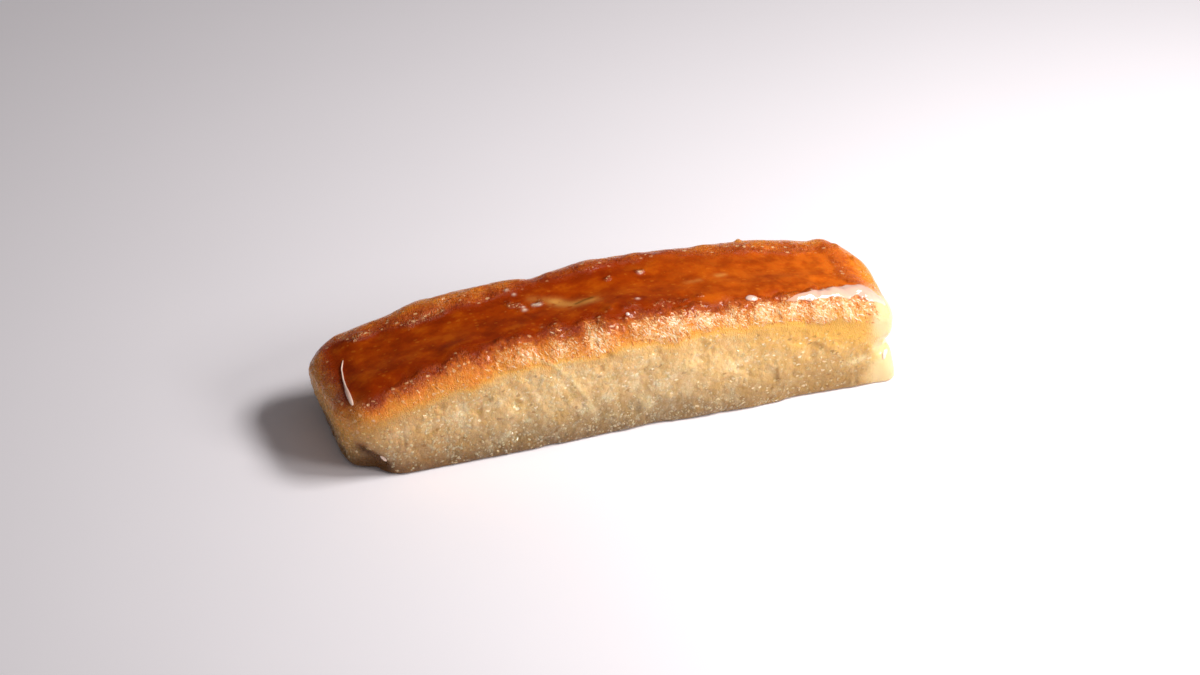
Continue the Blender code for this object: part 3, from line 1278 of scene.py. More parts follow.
@dataclass(frozen=True)
class BakeBelts:
    """Where the belts lie: how far up and over each begins, at places along the sides, and on the ends.

    Each row gives the starts of the strip, the band, the ridge and the top.
    """

    along: tuple[float, ...] = (
        *(-66.0, -56.0, -48.0, -40.0, -20.0, -10.0),
        *(0.0, 20.0, 30.0, 45.0, 55.0, 62.0, 66.0),
    )
    front: tuple[tuple[float, ...], ...] = (
        (-6.0, -4.0, -1.8, -0.4, 0.6, 0.8, 0.4, -0.4, -0.4, -1.6, -4.0, -10.0, -11.0),
        (0.0, 0.4, 1.2, 2.2, 3.0, 3.4, 3.0, 2.4, 2.0, 1.8, 1.8, 2.6, 3.5),
        (6.6, 7.2, 8.0, 9.2, 9.8, 10.2, 9.8, 9.2, 9.2, 9.2, 10.0, 10.5, 11.5),
        (9.6, 10.2, 11.2, 12.4, 12.8, 13.2, 13.2, 12.0, 11.2, 11.2, 12.2, 12.5, 13.0),
    )
    back: tuple[tuple[float, ...], ...] = (
        (-3.0, -1.0, -1.0, -1.0, -1.0, -1.0, -1.0, -1.0, -1.0, -1.0, -3.0, -7.0, -9.0),
        (3.0, 4.0, 4.0, 4.5, 4.5, 3.0, 3.0, 3.0, 4.0, 4.5, 4.5, 4.0, 3.5),
        (10.0, 12.0, 13.0, 14.0, 13.5, 11.5, 11.0, 11.0, 13.0, 14.5, 15.0, 14.0, 12.0),
        (13.0, 15.5, 17.0, 18.0, 17.5, 15.0, 14.5, 14.5, 16.5, 18.5, 19.0, 18.0, 16.0),
    )
    left_end: tuple[float, ...] = (-16.0, 2.0, 7.0, 9.5)
    right_end: tuple[float, ...] = (-9.5, 1.0, 12.0, 16.5)
    wander: tuple[Cloud, ...] = (Cloud(9.0, 0.9, 61), Cloud(3.6, 0.8, 62), Cloud(1.7, 0.5, 63))
    lobes: tuple[float, ...] = (
        *(-47.0, -38.0, -28.0, -23.0, -15.0, -6.0),
        *(6.5, 12.5, 19.0, 26.0, 33.0, 40.0, 47.0, 54.0),
    )
    lobe_half: float = 3.4
    lobe_noise: Cloud = Cloud(2.4, 0.4, 81)
    scallop: float = 2.0
    scallop_middle: float = 0.6
    scalloped: tuple[float, ...] = (0.0, 0.0, 1.0, 1.0)
    top_run: float = 3.5
    narrowest: float = 0.5
    behind: Step = Step(-6.0, 6.0)
    at_end: Step = Step(0.1, 0.9)
    on_top_end: Step = Step(-2.0, 2.0)
    drawn_down: Point = (1.0, 1.0, 0.35)

    def lobed(self, places: np.ndarray) -> np.ndarray:
        """How much each place lies on one of the shoulder's lobes: the nearest's bell, and some noise.

        Args:
            places: places in millimetres, one row each.

        Returns:
            A share from 0 to 1 for each place.
        """
        away = np.abs(places[:, :1] - np.array(self.lobes)).min(axis=1)
        bell = np.exp(-((away / self.lobe_half) ** 2))
        return np.clip(bell + self.lobe_noise.at(places), 0.0, 1.0)

    def end_share(self, form: BarForm, box_form: np.ndarray) -> np.ndarray:
        """How much each place faces an end: its share of the corner's turn, or the nearer edge on top.

        Args:
            form: gives the bar's sizes.
            box_form: places on the rounded box.

        Returns:
            A share from 0 to 1 for each place.
        """
        out_x = np.abs(box_form[:, 0]) - (form.length / 2.0 - form.shoulder_across)
        out_y = np.abs(box_form[:, 1]) - (form.width / 2.0 - form.shoulder_across)
        turned = np.arctan2(np.clip(out_x, 0.0, None), np.clip(out_y, 1e-6, None)) / (pi / 2.0)
        return np.where((out_x > 0.0) | (out_y > 0.0), turned, self.on_top_end.at(out_x - out_y))

    def levels(
        self, form: BarForm, box_form: np.ndarray, climb: np.ndarray
    ) -> tuple[np.ndarray, np.ndarray]:
        """How baked each place is, from 0 at the foot to 1 on top, with a fifth for each belt.

        Args:
            form: gives the bar's sizes.
            box_form: the surface's places before its relief.
            climb: how far up and over each lies.

        Returns:
            The level of each place, and how far each lies below the strip.
        """
        x, y = box_form[:, 0], box_form[:, 1]
        behind = self.behind.at(y)
        at_end = self.at_end.at(self.end_share(form, box_form))
        drift = sum(cloud.at(box_form * self.drawn_down) for cloud in self.wander)
        scallop = self.scallop * (self.lobed(box_form) - self.scallop_middle) * (1.0 - behind)
        edges = [np.full(len(box_form), -(form.height - form.shoulder_down))]
        parts = zip(self.front, self.back, self.left_end, self.right_end, self.scalloped)
        for front, back, left, right, share in parts:
            side = mix(np.interp(x, self.along, front), np.interp(x, self.along, back), behind)
            end = np.where(x < 0.0, left, right)
            edges.append(mix(side + share * scallop, end, at_end) + drift)
        edges.append(edges[-1] + self.top_run)
        total = np.zeros(len(box_form))
        for low, high in zip(edges[:-1], edges[1:]):
            share = np.clip((climb - low) / np.maximum(high - low, self.narrowest), 0.0, 1.0)
            total += share / (len(edges) - 1)
        return total, edges[1] - climb


@dataclass(frozen=True)
class Zones:
    """Where the marks lie, in millimetres along, across and up, or by the level, and how strong they are."""

    front_low: Step = Step(50.0, 56.0, -9.5, -12.5)
    front_high: Step = Step(50.0, 56.0, -5.0, -10.5)
    middle: Belt = Belt((-61.0, -54.0), (58.5, 62.5))
    shoulder: Belt = Belt((0.32, 0.44), (0.56, 0.72))
    inner_shoulder: Belt = Belt((0.29, 0.45), (0.48, 0.62))
    right: Step = Step(22.0, 34.0)
    wall: Step = Step(0.30, 0.44, 1.0, 0.0)
    rough_noise: tuple[float, int] = (1.8, 83)
    rough: Step = Step(-0.7, 0.3)
    band_softer: Step = Step(-46.0, -20.0, 0.5, 1.0)
    band_on_rough: float = 0.9
    lobes_at_right: float = 0.55
    sugar: tuple[float, float] = (0.26, 0.92)
    sugar_along: Step = Step(-42.0, -4.0, 0.25, 1.0)
    sugar_on_rough: Step = Step(22.0, 34.0, 0.42, 0.30)
    gloss: Step = Step(0.62, 0.82)
    # The creamy corner at the front right: a real creamy coat, its brightest cream partly painted highlight
    corner_noise: Cloud = Cloud(2.4, 1.6, 84)
    corner_along: Step = Step(56.0, 62.0)
    corner_across: Step = Step(-14.0, -8.5, 1.0, 0.0)
    corner_up: Step = Step(0.50, 0.68, 1.0, 0.0)
    strip: Step = Step(-8.0, 0.5)
    strip_top: Step = Step(0.36, 0.44, 1.0, 0.0)
    # sun: the golden tone on the right's strip and crumb wall, partly real and partly painted warm light from
    # the right
    sun_along: Step = Step(8.0, 50.0)
    sun_on_strip: float = 0.45
    sun_on_wall: float = 0.48
    film_on_amber_and_shade: float = 0.5
    # foot: painted shade at the foot of the wall, strongest on the left
    foot_along: Step = Step(-50.0, 20.0, 0.6, 0.14)
    foot_up: Step = Step(0.3, 5.0, 1.0, 0.0)
    shade_start: float = 3.0
    shade_end: Step = Step(22.0, 34.0, 12.5, 16.0)
    shade: float = 0.5
    # left_shade: painted shade, darker towards the left end, which lies farther from the lamps
    left_shade_along: Step = Step(24.0, 60.0, 0.0, 0.36)
    left_shade_up: Step = Step(0.30, 0.50, 1.0, 0.0)
    left_end: Step = Step(59.0, 63.0, 0.0, 0.8)
    left_end_up: Step = Step(0.36, 0.46, 1.0, 0.0)
    crumb: Step = Step(-3.2, 2.0)
    rough_along: Step = Step(55.0, 61.0, 1.0, 0.25)
    rough_strip: Step = Step(3.0, -1.0, 0.0, 0.8)
    rough_strip_top: float = 0.5
    # warm_and_lit: growing towards the right, partly real browning and partly painted light from the right
    warm_and_lit_parts: tuple[Step, Step] = (Step(4.0, 30.0, 0.0, 0.30), Step(35.0, 60.0, 0.0, 0.35))
    warm_and_lit_up: Step = Step(0.48, 0.66)


@dataclass(frozen=True)
class Surface:
    """A finished net: its points, its faces, its normals, and the named values at its points."""

    points: np.ndarray
    quads: np.ndarray
    triangles: np.ndarray
    normals: np.ndarray
    marks: dict[str, np.ndarray]


FOLD_LINE = (
    (-25.3, -16.5, 24.3),
    (-22.0, -17.4, 23.2),
    (-18.1, -18.0, 21.4),
    (-14.2, -17.9, 17.3),
    (-9.4, -17.5, 9.9),
)


@dataclass(frozen=True)
class Skin:
    """The whole bar's surface in one closed piece, with its fine relief and its finish's marks."""

    form: BarForm = field(default_factory=BarForm)
    net: SkinNet = field(default_factory=SkinNet)
    belts: BakeBelts = field(default_factory=BakeBelts)
    zones: Zones = field(default_factory=Zones)
    finish: SkinFinish = field(default_factory=SkinFinish)
    crust: Step = Step(0.80, 0.92)
    standing: Step = Step(0.1, 1.5)
    pit_rise: tuple[float, float] = (0.35, 0.9)
    grain_least: float = 0.5
    sparkle_rise: float = 0.25
    sugar_rise: float = 0.25
    rough_rise: float = 0.05
    grain: Cloud = Cloud(1.25, 0.24, 71)
    clumps: Cloud = Cloud(3.3, 0.30, 72)
    pits: Cloud = Cloud(2.2, 0.45, 75)
    crinkle: Cloud = Cloud(1.5, 0.24, 73)
    lobes: Cloud = Cloud(3.4, 0.55, 74)
    rough_patches: tuple[Spot, ...] = (
        Spot(((-20.6, 2.6, 25.8), (-17.6, 0.4, 25.9)), 1.9),
        Spot(((-15.2, 0.9, 25.9), (-14.4, 1.2, 25.9)), 0.9),
        Spot(((-55.6, 8.6, 20.8), (-52.2, 8.9, 21.6)), 1.5),
        Spot(((-44.0, 6.6, 23.4), (-36.4, 7.0, 24.6)), 1.6),
        Spot(((-36.0, 10.5, 24.6), (-21.0, 11.0, 25.6)), 2.0),
        Spot(((36.0, 8.8, 26.2), (54.0, 8.0, 23.2)), 1.8),
        Spot(((10.4, 5.2, 27.0), (11.4, 5.4, 27.0)), 0.8),
        Spot(((2.4, 4.2, 27.0), (3.2, 4.4, 27.0)), 0.7),
        Spot(((-1.0, -9.6, 27.2), (4.0, -9.4, 27.4)), 1.4, 0.7),
        Spot(((9.0, -9.8, 27.2), (20.0, -9.8, 26.8)), 1.2, 0.7),
        Spot(((60.4, 10.0, 21.4), (62.7, 0.0, 21.0), (63.2, -7.0, 20.0)), 1.6, 0.9),
    )
    pale_places: tuple[Spot, ...] = (
        Spot(((-11.3, 0.2, 25.8), (-8.4, -2.4, 26.2), (-3.6, -2.8, 26.7)), 1.7, 0.75),
        Spot(((-16.0, 3.0, 26.0), (-10.5, 1.0, 26.0)), 1.2, 0.3),
        Spot(((19.4, -2.0, 26.6), (22.4, -2.0, 26.5)), 0.8, 0.35),
        Spot(((27.2, -1.3, 26.1), (28.6, -1.3, 26.0)), 0.8, 0.55),
    )
    # Amber at the front left corner: partly real colour, partly painted shade for the dim left end
    amber_and_shade_places: tuple[Spot, ...] = (
        Spot(((-61.5, -15.0, 7.5), (-58.6, -16.6, 5.0), (-57.2, -17.2, 2.0)), 2.0, 0.6),
        Spot(((-62.4, -13.5, 16.5), (-61.4, -14.8, 9.0)), 2.6, 0.6),
    )
    # Darker places, all painted shade: the chip's hollow at the front left foot, crevices, slits and spots
    # beside lumps. One more is a broad darker patch low on the middle of the front
    deep_shade_places: tuple[Spot, ...] = (
        Spot(((-61.6, -15.2, 7.0), (-59.2, -16.3, 5.8), (-57.8, -17.1, 3.2)), 1.9, 1.0),
        Spot(((-61.0, -15.2, 2.6), (-58.6, -16.6, 1.2)), 2.6, 0.9),
        Spot(((44.6, -17.8, 14.0), (46.4, -18.0, 12.4)), 0.8, 0.35),
        Spot(((-10.5, -18.0, 7.5), (-2.5, -18.0, 5.0)), 4.0, 0.15),
        Spot(((-4.7, -17.4, 21.2), (-4.0, -17.4, 20.8)), 0.6, 0.5),
        Spot(((-18.2, -18.2, 4.2),), 0.6, 0.4),
        Spot(((-4.2, -17.3, 4.8), (-3.2, -17.3, 4.2)), 0.7, 0.5),
        Spot(((-7.3, -2.6, 26.3), (-5.2, -1.7, 26.4), (-3.1, -1.4, 26.5)), 0.5, 0.8),
    )
    sparkles: tuple[Spot, ...] = (
        Spot(((-18.8, -0.5, 25.8),), 0.5, 0.9),
        Spot(((-18.8, 0.8, 25.8),), 0.4, 0.8),
        Spot(((-16.3, 0.8, 25.9), (-14.9, 0.5, 25.8)), 0.4, 0.8),
        Spot(((-20.3, 8.2, 26.4),), 0.5, 0.7),
        Spot(((-19.2, 6.0, 26.2),), 0.4, 0.7),
        Spot(((10.5, 4.7, 27.0),), 0.5, 0.8),
        Spot(((5.8, -7.0, 27.6),), 0.45, 0.8),
    )
    raised_folds: tuple[Spot, ...] = (Spot(FOLD_LINE, 0.42, 0.22, flat=True),)
    light_lumps: tuple[Spot, ...] = (
        Spot(((-4.6, -17.3, 4.9), (-3.2, -17.3, 4.1)), 1.3, 0.42),
        Spot(((-9.6, -17.4, 8.3), (-8.8, -17.4, 7.3)), 1.2, 0.34),
        Spot(((3.2, -17.2, 7.4), (4.4, -17.2, 5.6)), 1.5, 0.40),
        Spot(((9.7, -17.3, 7.3),), 0.8, 0.45),
        Spot(((-28.4, -17.8, 11.2), (-26.6, -17.8, 10.2)), 1.3, 0.32),
        Spot(((13.0, -17.8, 14.2), (15.0, -17.8, 13.0)), 1.4, 0.3),
        Spot(((38.0, 13.9, 24.6),), 0.7, 0.6),
    )
    # Lighter edges along the fold line and along the crease at the right: painted highlight
    highlight_folds: tuple[Spot, ...] = (
        Spot(FOLD_LINE, 0.36, 0.62, flat=True),
        Spot(((57.0, -17.9, 7.6), (53.6, -17.9, 7.1)), 0.8, 0.8),
    )
    # Cream along the right corner's top edge: partly painted highlight
    cream_and_highlight_edges: tuple[Spot, ...] = (
        Spot(((60.6, -13.4, 20.9), (62.4, -15.0, 18.6), (63.6, -16.6, 15.0)), 1.7, 0.8),
    )
    sunk_folds: tuple[Spot, ...] = (
        Spot(((45.1, -17.8, 13.8), (47.4, -18.0, 11.3)), 0.9, 0.5),
        Spot(((-28.8, -17.9, 18.6), (-25.6, -17.8, 16.0), (-23.4, -17.7, 12.7)), 0.8, 0.3),
        Spot(((-17.9, -17.6, 18.8), (-15.4, -17.7, 16.0), (-11.8, -17.7, 9.8), (-9.4, -17.6, 7.4)), 0.6, 0.2),
        Spot(((-61.6, -15.4, 6.6), (-59.2, -16.6, 4.8), (-58.0, -17.2, 2.0)), 1.8, 0.8),
        Spot(((57.5, -18.2, 6.6), (62.0, -17.6, 8.8), (66.0, -12.0, 9.8)), 0.8, 0.5),
    )

    def surface(self) -> Surface:
        """The finished surface.

        The box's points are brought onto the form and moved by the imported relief, and then by the finer
        relief along the new normals. The finer relief fades out towards the underside.

        Returns:
            The points, faces, normals and marks.
        """
        unit, quads, triangles = self.net.build(self.form)
        box_form, arm = self.form.rounded(unit)
        climb = self.form.climb(box_form, arm)
        crust = self.crust.at(box_form[:, 2] / self.form.height)
        points = self.form.formed(box_form)
        normals = vertex_normals(points, quads, triangles)
        outward = self.form.outward(points, arm, normals)
        moved = points + outward * self.form.relief(points, crust)[:, None] - self.form.centring
        marks = self.marks(moved, box_form, climb)
        normals = vertex_normals(moved, quads, triangles)
        rise = self.fine_relief(moved, marks) * self.standing.at(moved[:, 2])
        moved = moved + normals * rise[:, None]
        return Surface(moved, quads, triangles, vertex_normals(moved, quads, triangles), marks)

    def marks(self, points: np.ndarray, box_form: np.ndarray, climb: np.ndarray) -> dict[str, np.ndarray]:
        """The named values that the finish reads, from the belts, the zones and the placed spots.

        Args:
            points: the surface's places.
            box_form: the same places on the rounded box.
            climb: how far up and over each lies.

        Returns:
            The values at each place, by mark.
        """
        zones = self.zones
        level, below = self.belts.levels(self.form, box_form, climb)
        x, y, z = points.T
        placed = {
            name: np.clip(total_share(points, spots), 0.0, 1.0)
            for name, spots in (
                ("rough", self.rough_patches),
                ("pale", self.pale_places),
                ("amber_and_shade", self.amber_and_shade_places),
                ("sparkle", self.sparkles),
            )
        }
        front = 1.0 - smooth_step(box_form[:, 1], zones.front_low.at(x), zones.front_high.at(x))
        middle, shoulder, wall = zones.middle.at(x), zones.shoulder.at(level), zones.wall.at(level)
        rough = placed["rough"] * zones.rough.at(Noise.smooth(points, *zones.rough_noise))
        band = np.maximum(shoulder * front * middle * zones.band_softer.at(x), rough * zones.band_on_rough)
        lobes = np.maximum(self.belts.lobed(box_form), zones.lobes_at_right * zones.right.at(x))
        sugar = mix(*zones.sugar, lobes) * zones.sugar_along.at(x)
        sugar = np.clip(zones.inner_shoulder.at(level) * front * middle * sugar, 0.0, 1.0)
        # the creamy corner, partly painted highlight, to which the fold highlights are added below
        cream_and_highlight = zones.corner_along.at(x + zones.corner_noise.at(points))
        cream_and_highlight *= zones.corner_across.at(y) * zones.corner_up.at(level)
        cream_and_highlight = np.clip(np.maximum(cream_and_highlight, total_share(points, self.cream_and_highlight_edges)), 0.0, 1.0)
        light = total_share(points, self.highlight_folds + self.light_lumps)
        strip = zones.strip.at(-below) * zones.strip_top.at(level)
        # sun: partly real golden tone, partly painted warm light from the right
        sun = zones.sun_on_strip * strip + zones.sun_on_wall * wall
        film = np.clip(cream_and_highlight + zones.film_on_amber_and_shade * placed["amber_and_shade"], 0.0, 1.0)
        # painted shade at the foot of the wall
        foot = zones.foot_along.at(x) * zones.foot_up.at(z) * wall
        shade = zones.shade * (1.0 - smooth_step(z, zones.shade_start, zones.shade_end.at(x)))
        left_end = zones.left_end.at(-x) * zones.left_end_up.at(level)
        rough_strip = zones.rough_strip.at(below) * (level < zones.rough_strip_top) * (1.0 - film)
        # partly real browning, partly painted light from the right
        warm_and_lit = sum(part.at(x) for part in zones.warm_and_lit_parts)
        return placed | {
            "level": level,
            "crumb": np.maximum(zones.crumb.at(below), left_end) * (1.0 - film),
            "band": band,
            "rough": np.clip(shoulder * zones.rough_along.at(x) + rough + rough_strip, 0.0, 1.0),
            "gloss": zones.gloss.at(level) * (1.0 - rough),
            "sugar": np.maximum(sugar, rough * zones.sugar_on_rough.at(x)),
            "sun": np.clip(zones.sun_along.at(x) * sun, 0.0, 1.0),
            "shade": shade * wall * (1.0 - film),
            "warm_and_lit": warm_and_lit * zones.warm_and_lit_up.at(level),
            "film": film,
            "cream_and_highlight": np.clip(cream_and_highlight + light, 0.0, 1.0),
            # the corner's amber, and painted shade over the left
            "amber_and_shade": np.maximum(placed["amber_and_shade"], zones.left_shade_along.at(-x) * zones.left_shade_up.at(level)),
            # the placed painted shade and the foot's painted shade
            "deep_shade": np.clip(total_share(points, self.deep_shade_places) + foot, 0.0, 1.0),
        }

    def fine_relief(self, points: np.ndarray, marks: dict[str, np.ndarray]) -> np.ndarray:
        """Grain domes, clumps and pits in the crumb, crinkles and lobes on the shoulder, and folds.

        Args:
            points: the surface's places.
            marks: the values at each place, by mark.

        Returns:
            Millimetres outwards, for each place.
        """
        nearest, own = Noise.cells(points, self.grain.size, self.grain.seed)
        crumb = self.grain.height * (1.0 - nearest**2) * (self.grain_least + own) + self.clumps.at(points)
        crumb -= self.pits.height * smooth_step(self.pits.plain(points), *self.pit_rise)
        folds = 1.0 - 2.0 * np.abs(self.crinkle.plain(points))
        band = self.crinkle.height * folds + self.lobes.at(points)
        placed = total_share(points, self.raised_folds + self.light_lumps)
        placed -= total_share(points, self.sunk_folds)
        placed += self.sparkle_rise * total_share(points, self.sparkles)
        raised = marks["band"] * (band + self.sugar_rise * marks["sugar"])
        raised += self.rough_rise * marks["rough"] * folds
        return marks["crumb"] * crumb + raised + placed

    def build(self, surface: Surface) -> bpy.types.Object:
        """Makes the piece."""
        faces = (surface.quads, surface.triangles)
        return make_piece("baked_pastry_skin", surface.points, faces, self.finish.make(), surface.marks)


class Solid:
    """Plain shapes that small pieces start from."""

    @staticmethod
    def icosahedron() -> tuple[np.ndarray, np.ndarray]:
        """Twelve points of the unit sphere, the corners of three golden rectangles, and its twenty faces.

        Returns:
            The points and the faces.
        """
        golden = (1.0 + 5.0**0.5) / 2.0
        corners = np.array(
            [(-1, golden, 0), (1, golden, 0), (-1, -golden, 0), (1, -golden, 0)]
            + [(0, -1, golden), (0, 1, golden), (0, -1, -golden), (0, 1, -golden)]
            + [(golden, 0, -1), (golden, 0, 1), (-golden, 0, -1), (-golden, 0, 1)]
        )
        away = np.linalg.norm(corners[:, None] - corners[None], axis=2)
        joined = np.isclose(away, 2.0)
        faces = [
            (i, j, k)
            for i in range(12)
            for j in range(i + 1, 12)
            for k in range(j + 1, 12)
            if joined[i, j] and joined[j, k] and joined[i, k]
        ]
        triangles = np.array(faces)
        middle = corners[triangles].mean(axis=1)
        edge_one = corners[triangles[:, 1]] - corners[triangles[:, 0]]
        edge_two = corners[triangles[:, 2]] - corners[triangles[:, 0]]
        inward = (np.cross(edge_one, edge_two) * middle).sum(axis=1) < 0.0
        triangles[inward] = triangles[inward][:, ::-1]
        return corners / np.linalg.norm(corners[0]), triangles


@dataclass(frozen=True)
class Scatter:
    """Small bits strewn over the bar's surface: how many, how big, and how they lie.

    Each bit is an uneven twenty-sided grain, drawn out along its own length and pressed flat.
    """

    name: str
    count: int
    seed: int
    radius: tuple[float, float]
    length_share: tuple[float, float]
    flat_share: float
    sunk_share: float
    uneven: float = 0.14
    slant: float = 0.0
    slant_spread: float = pi
    tone_spread: float = 0.5
    lowest: float = 0.02

    def chosen(self, surface: Surface, density: np.ndarray, rng: np.random.Generator) -> np.ndarray:
        """The numbers of faces drawn at random, in proportion to their area times their density.

        Args:
            surface: what the bits lie on.
            density: how thickly they lie at each point.
            rng: the seeded random numbers.

        Returns:
            One face's number for each bit.
        """
        corners = surface.points[surface.quads]
        across = np.cross(corners[:, 2] - corners[:, 0], corners[:, 3] - corners[:, 1])
        weight = np.linalg.norm(across, axis=1) * density[surface.quads].mean(axis=1)
        return rng.choice(len(surface.quads), self.count, p=weight / weight.sum())

    def build(
        self, surface: Surface, density: np.ndarray, tone: np.ndarray, material: bpy.types.Material
    ) -> bpy.types.Object:
        """Makes all the bits as one piece.

        Each bit's frame is the surface's normal, a direction in the surface turned by its slant, and their
        cross product. Its points are the grain's, times its three half sizes along that frame.

        Args:
            surface: what they lie on.
            density: how thickly they lie at each of its points.
            tone: how light they are at each of its points.
            material: their finish.

        Returns:
            The piece.
        """
        rng = np.random.default_rng(self.seed)
        face = surface.quads[self.chosen(surface, density, rng)]
        share = rng.uniform(0.0, 1.0, (self.count, 2, 1))
        corner = surface.points[face]
        low = mix(corner[:, 0], corner[:, 1], share[:, 0])
        high = mix(corner[:, 3], corner[:, 2], share[:, 0])
        place = mix(low, high, share[:, 1])
        normal = unit_rows(surface.normals[face].mean(axis=1))
        up_slope = unit_rows(np.array((0.0, 1e-3, 1.0)) - normal * normal[:, 2:])
        side = np.cross(up_slope, normal)
        angle = (self.slant + rng.uniform(-1.0, 1.0, self.count) * self.slant_spread)[:, None]
        first = up_slope * np.cos(angle) + side * np.sin(angle)
        second = np.cross(normal, first)
        radius = rng.uniform(*self.radius, (self.count, 1))
        longer = rng.uniform(*self.length_share, (self.count, 1))
        ball, triangles = Solid.icosahedron()
        wobble = 1.0 + rng.uniform(-self.uneven, self.uneven, (self.count, len(ball), 1))
        height = normal * radius * self.flat_share
        axes = np.stack((first * radius * longer, second * radius, height), axis=1)
        points = (place - height * self.sunk_share)[:, None] + (ball[None] * wobble) @ axes
        points[:, :, 2] = np.maximum(points[:, :, 2], self.lowest)
        faces = triangles[None] + (np.arange(self.count) * len(ball))[:, None, None]
        own_tone = tone[face].mean(axis=1) + rng.uniform(-self.tone_spread, self.tone_spread, self.count)
        marks = {name: surface.marks[name][face].mean(axis=1) for name in ("level", "sun", "shade")}
        marks["tone"] = np.clip(own_tone, 0.0, 1.0)
        marks = {name: np.repeat(values, len(ball)) for name, values in marks.items()}
        faces = (faces.reshape(-1, 3),)
        return make_piece(self.name, points.reshape(-1, 3), faces, material, marks, smooth=False)


@dataclass(frozen=True)
class Film:
    """Syrup that stands on the surface: its line, its half widths, its height, and its painted milky
    highlight.
    """

    name: str
    path: tuple[Point, ...]
    half_widths: tuple[float, ...]
    height: float
    highlight_milkiness: tuple[float, ...] = (0.0,)
    ragged: float = 0.0
    bluntness: int = 6
    seed: int = 91
    steps: int = 96
    ring: int = 28
    sunk: float = 0.25
    ragged_size: float = 1.2
    calm_side: float = 0.25
    tip_width: float = 1e-3
    easing_rounds: int = 12
    neighbours: int = 12
    neighbour_margin: float = 3.0
    neighbour_softness: float = 0.02
    batches: int = 16

    def _along(self, share: np.ndarray, values: tuple[float, ...]) -> np.ndarray:
        """The values spread evenly along the line, and read at each share of the way."""
        return np.interp(share, np.linspace(0.0, 1.0, len(values)), values)

    def _onto(self, surface: Surface, places: np.ndarray) -> tuple[np.ndarray, np.ndarray, np.ndarray]:
        """Brings each place to the surface.

        The nearest points' places, normals and levels are averaged with weights of one over the squared
        distance, and the place is moved along that normal into their plane.

        Args:
            surface: what the film lies on.
            places: points near it.

        Returns:
            Places, unit normals and levels.
        """
        low, high = places.min(axis=0) - self.neighbour_margin, places.max(axis=0) + self.neighbour_margin
        kept = np.flatnonzero(((surface.points > low) & (surface.points < high)).all(axis=1))
        found, normals, levels = [], [], []
        for part in np.array_split(places, self.batches):
            away = np.linalg.norm(surface.points[kept][None] - part[:, None], axis=2)
            near = np.argpartition(away, self.neighbours, axis=1)[:, : self.neighbours]
            weight = 1.0 / (np.take_along_axis(away, near, axis=1) ** 2 + self.neighbour_softness)
            weight /= weight.sum(axis=1)[:, None]
            near = kept[near]
            middle = (surface.points[near] * weight[:, :, None]).sum(axis=1)
            normal = unit_rows((surface.normals[near] * weight[:, :, None]).sum(axis=1))
            found.append(part + normal * ((middle - part) * normal).sum(axis=1)[:, None])
            normals.append(normal)
            levels.append((surface.marks["level"][near] * weight).sum(axis=1))
        return np.concatenate(found), np.concatenate(normals), np.concatenate(levels)

    def build(self, surface: Surface, material: bpy.types.Material) -> bpy.types.Object:
        """Makes the film as a closed piece.

        Round each place of the line the cross-section is a flat dome: across it goes by the cosine of the
        angle, and up from the surface by the sine's square root, or down into it a little. Both shrink to
        nothing at the line's ends, by a power curve as blunt as the film asks. One side's edge is ragged.

        Args:
            surface: what the film lies on.
            material: its finish.

        Returns:
            The piece.
        """
        path = np.array(self.path)
        run = np.concatenate(([0.0], np.cumsum(np.linalg.norm(np.diff(path, axis=0), axis=1))))
        even = np.linspace(0.0, run[-1], self.steps)
        line = np.column_stack([np.interp(even, run, path[:, axis]) for axis in range(3)])
        for _ in range(self.easing_rounds):
            line[1:-1] = (line[:-2] + 2.0 * line[1:-1] + line[2:]) / 4.0
        centre, normal, _ = self._onto(surface, line)
        ahead = np.gradient(centre, axis=0)
        across = unit_rows(np.cross(normal, ahead))
        share = np.linspace(0.0, 1.0, self.steps)
        taper = np.sqrt(np.clip(1.0 - (2.0 * share - 1.0) ** self.bluntness, 0.0, 1.0)) + self.tip_width
        half = self._along(share, self.half_widths) * taper
        turn = np.linspace(0.0, 2.0 * pi, self.ring, endpoint=False)
        sideways = np.cos(turn)[None] * half[:, None]
        spread = centre[:, None] + across[:, None] * sideways[:, :, None]
        rough = Noise.smooth(spread.reshape(-1, 3), self.ragged_size, self.seed).reshape(sideways.shape)
        edge = 1.0 + self.ragged * rough * np.where(np.cos(turn) < 0.0, 1.0, self.calm_side)[None]
        spread = centre[:, None] + across[:, None] * (sideways * edge)[:, :, None]
        base, out, level = self._onto(surface, spread.reshape(-1, 3))
        dome = self.height * np.sqrt(np.abs(np.sin(turn)))
        rise = np.where(np.sin(turn) > 0.0, dome, self.sunk * np.sin(turn))
        points = base + out * (rise[None] * taper[:, None]).reshape(-1, 1)
        number = np.arange(self.steps * self.ring).reshape(self.steps, self.ring)
        following = np.roll(number, -1, axis=1)
        quads = np.stack((number[:-1], number[1:], following[1:], following[:-1]), axis=-1)
        quads = quads.reshape(-1, 4)
        tips = len(points) + np.arange(2)
        first_cap = np.column_stack((number[0], following[0], np.full(self.ring, tips[0])))
        last_cap = np.column_stack((following[-1], number[-1], np.full(self.ring, tips[1])))
        points = np.concatenate((points, points[number[[0, -1]]].mean(axis=1)))
        caps = np.concatenate((first_cap, last_cap))
        normals = vertex_normals(points, quads, caps)
        if (normals[number[:, self.ring // 4]] * normal).sum() < 0.0:
            quads, caps = quads[:, ::-1], caps[:, ::-1]
        # how much painted milky highlight each ring carries
        milky_highlight = np.repeat(self._along(share, self.highlight_milkiness), self.ring)
        marks = {
            "level": np.concatenate((level, level[[0, -1]])),
            "cream_and_highlight": np.concatenate((milky_highlight, milky_highlight[[0, -1]])),
        }
        return make_piece(self.name, points, (quads, caps), material, marks)


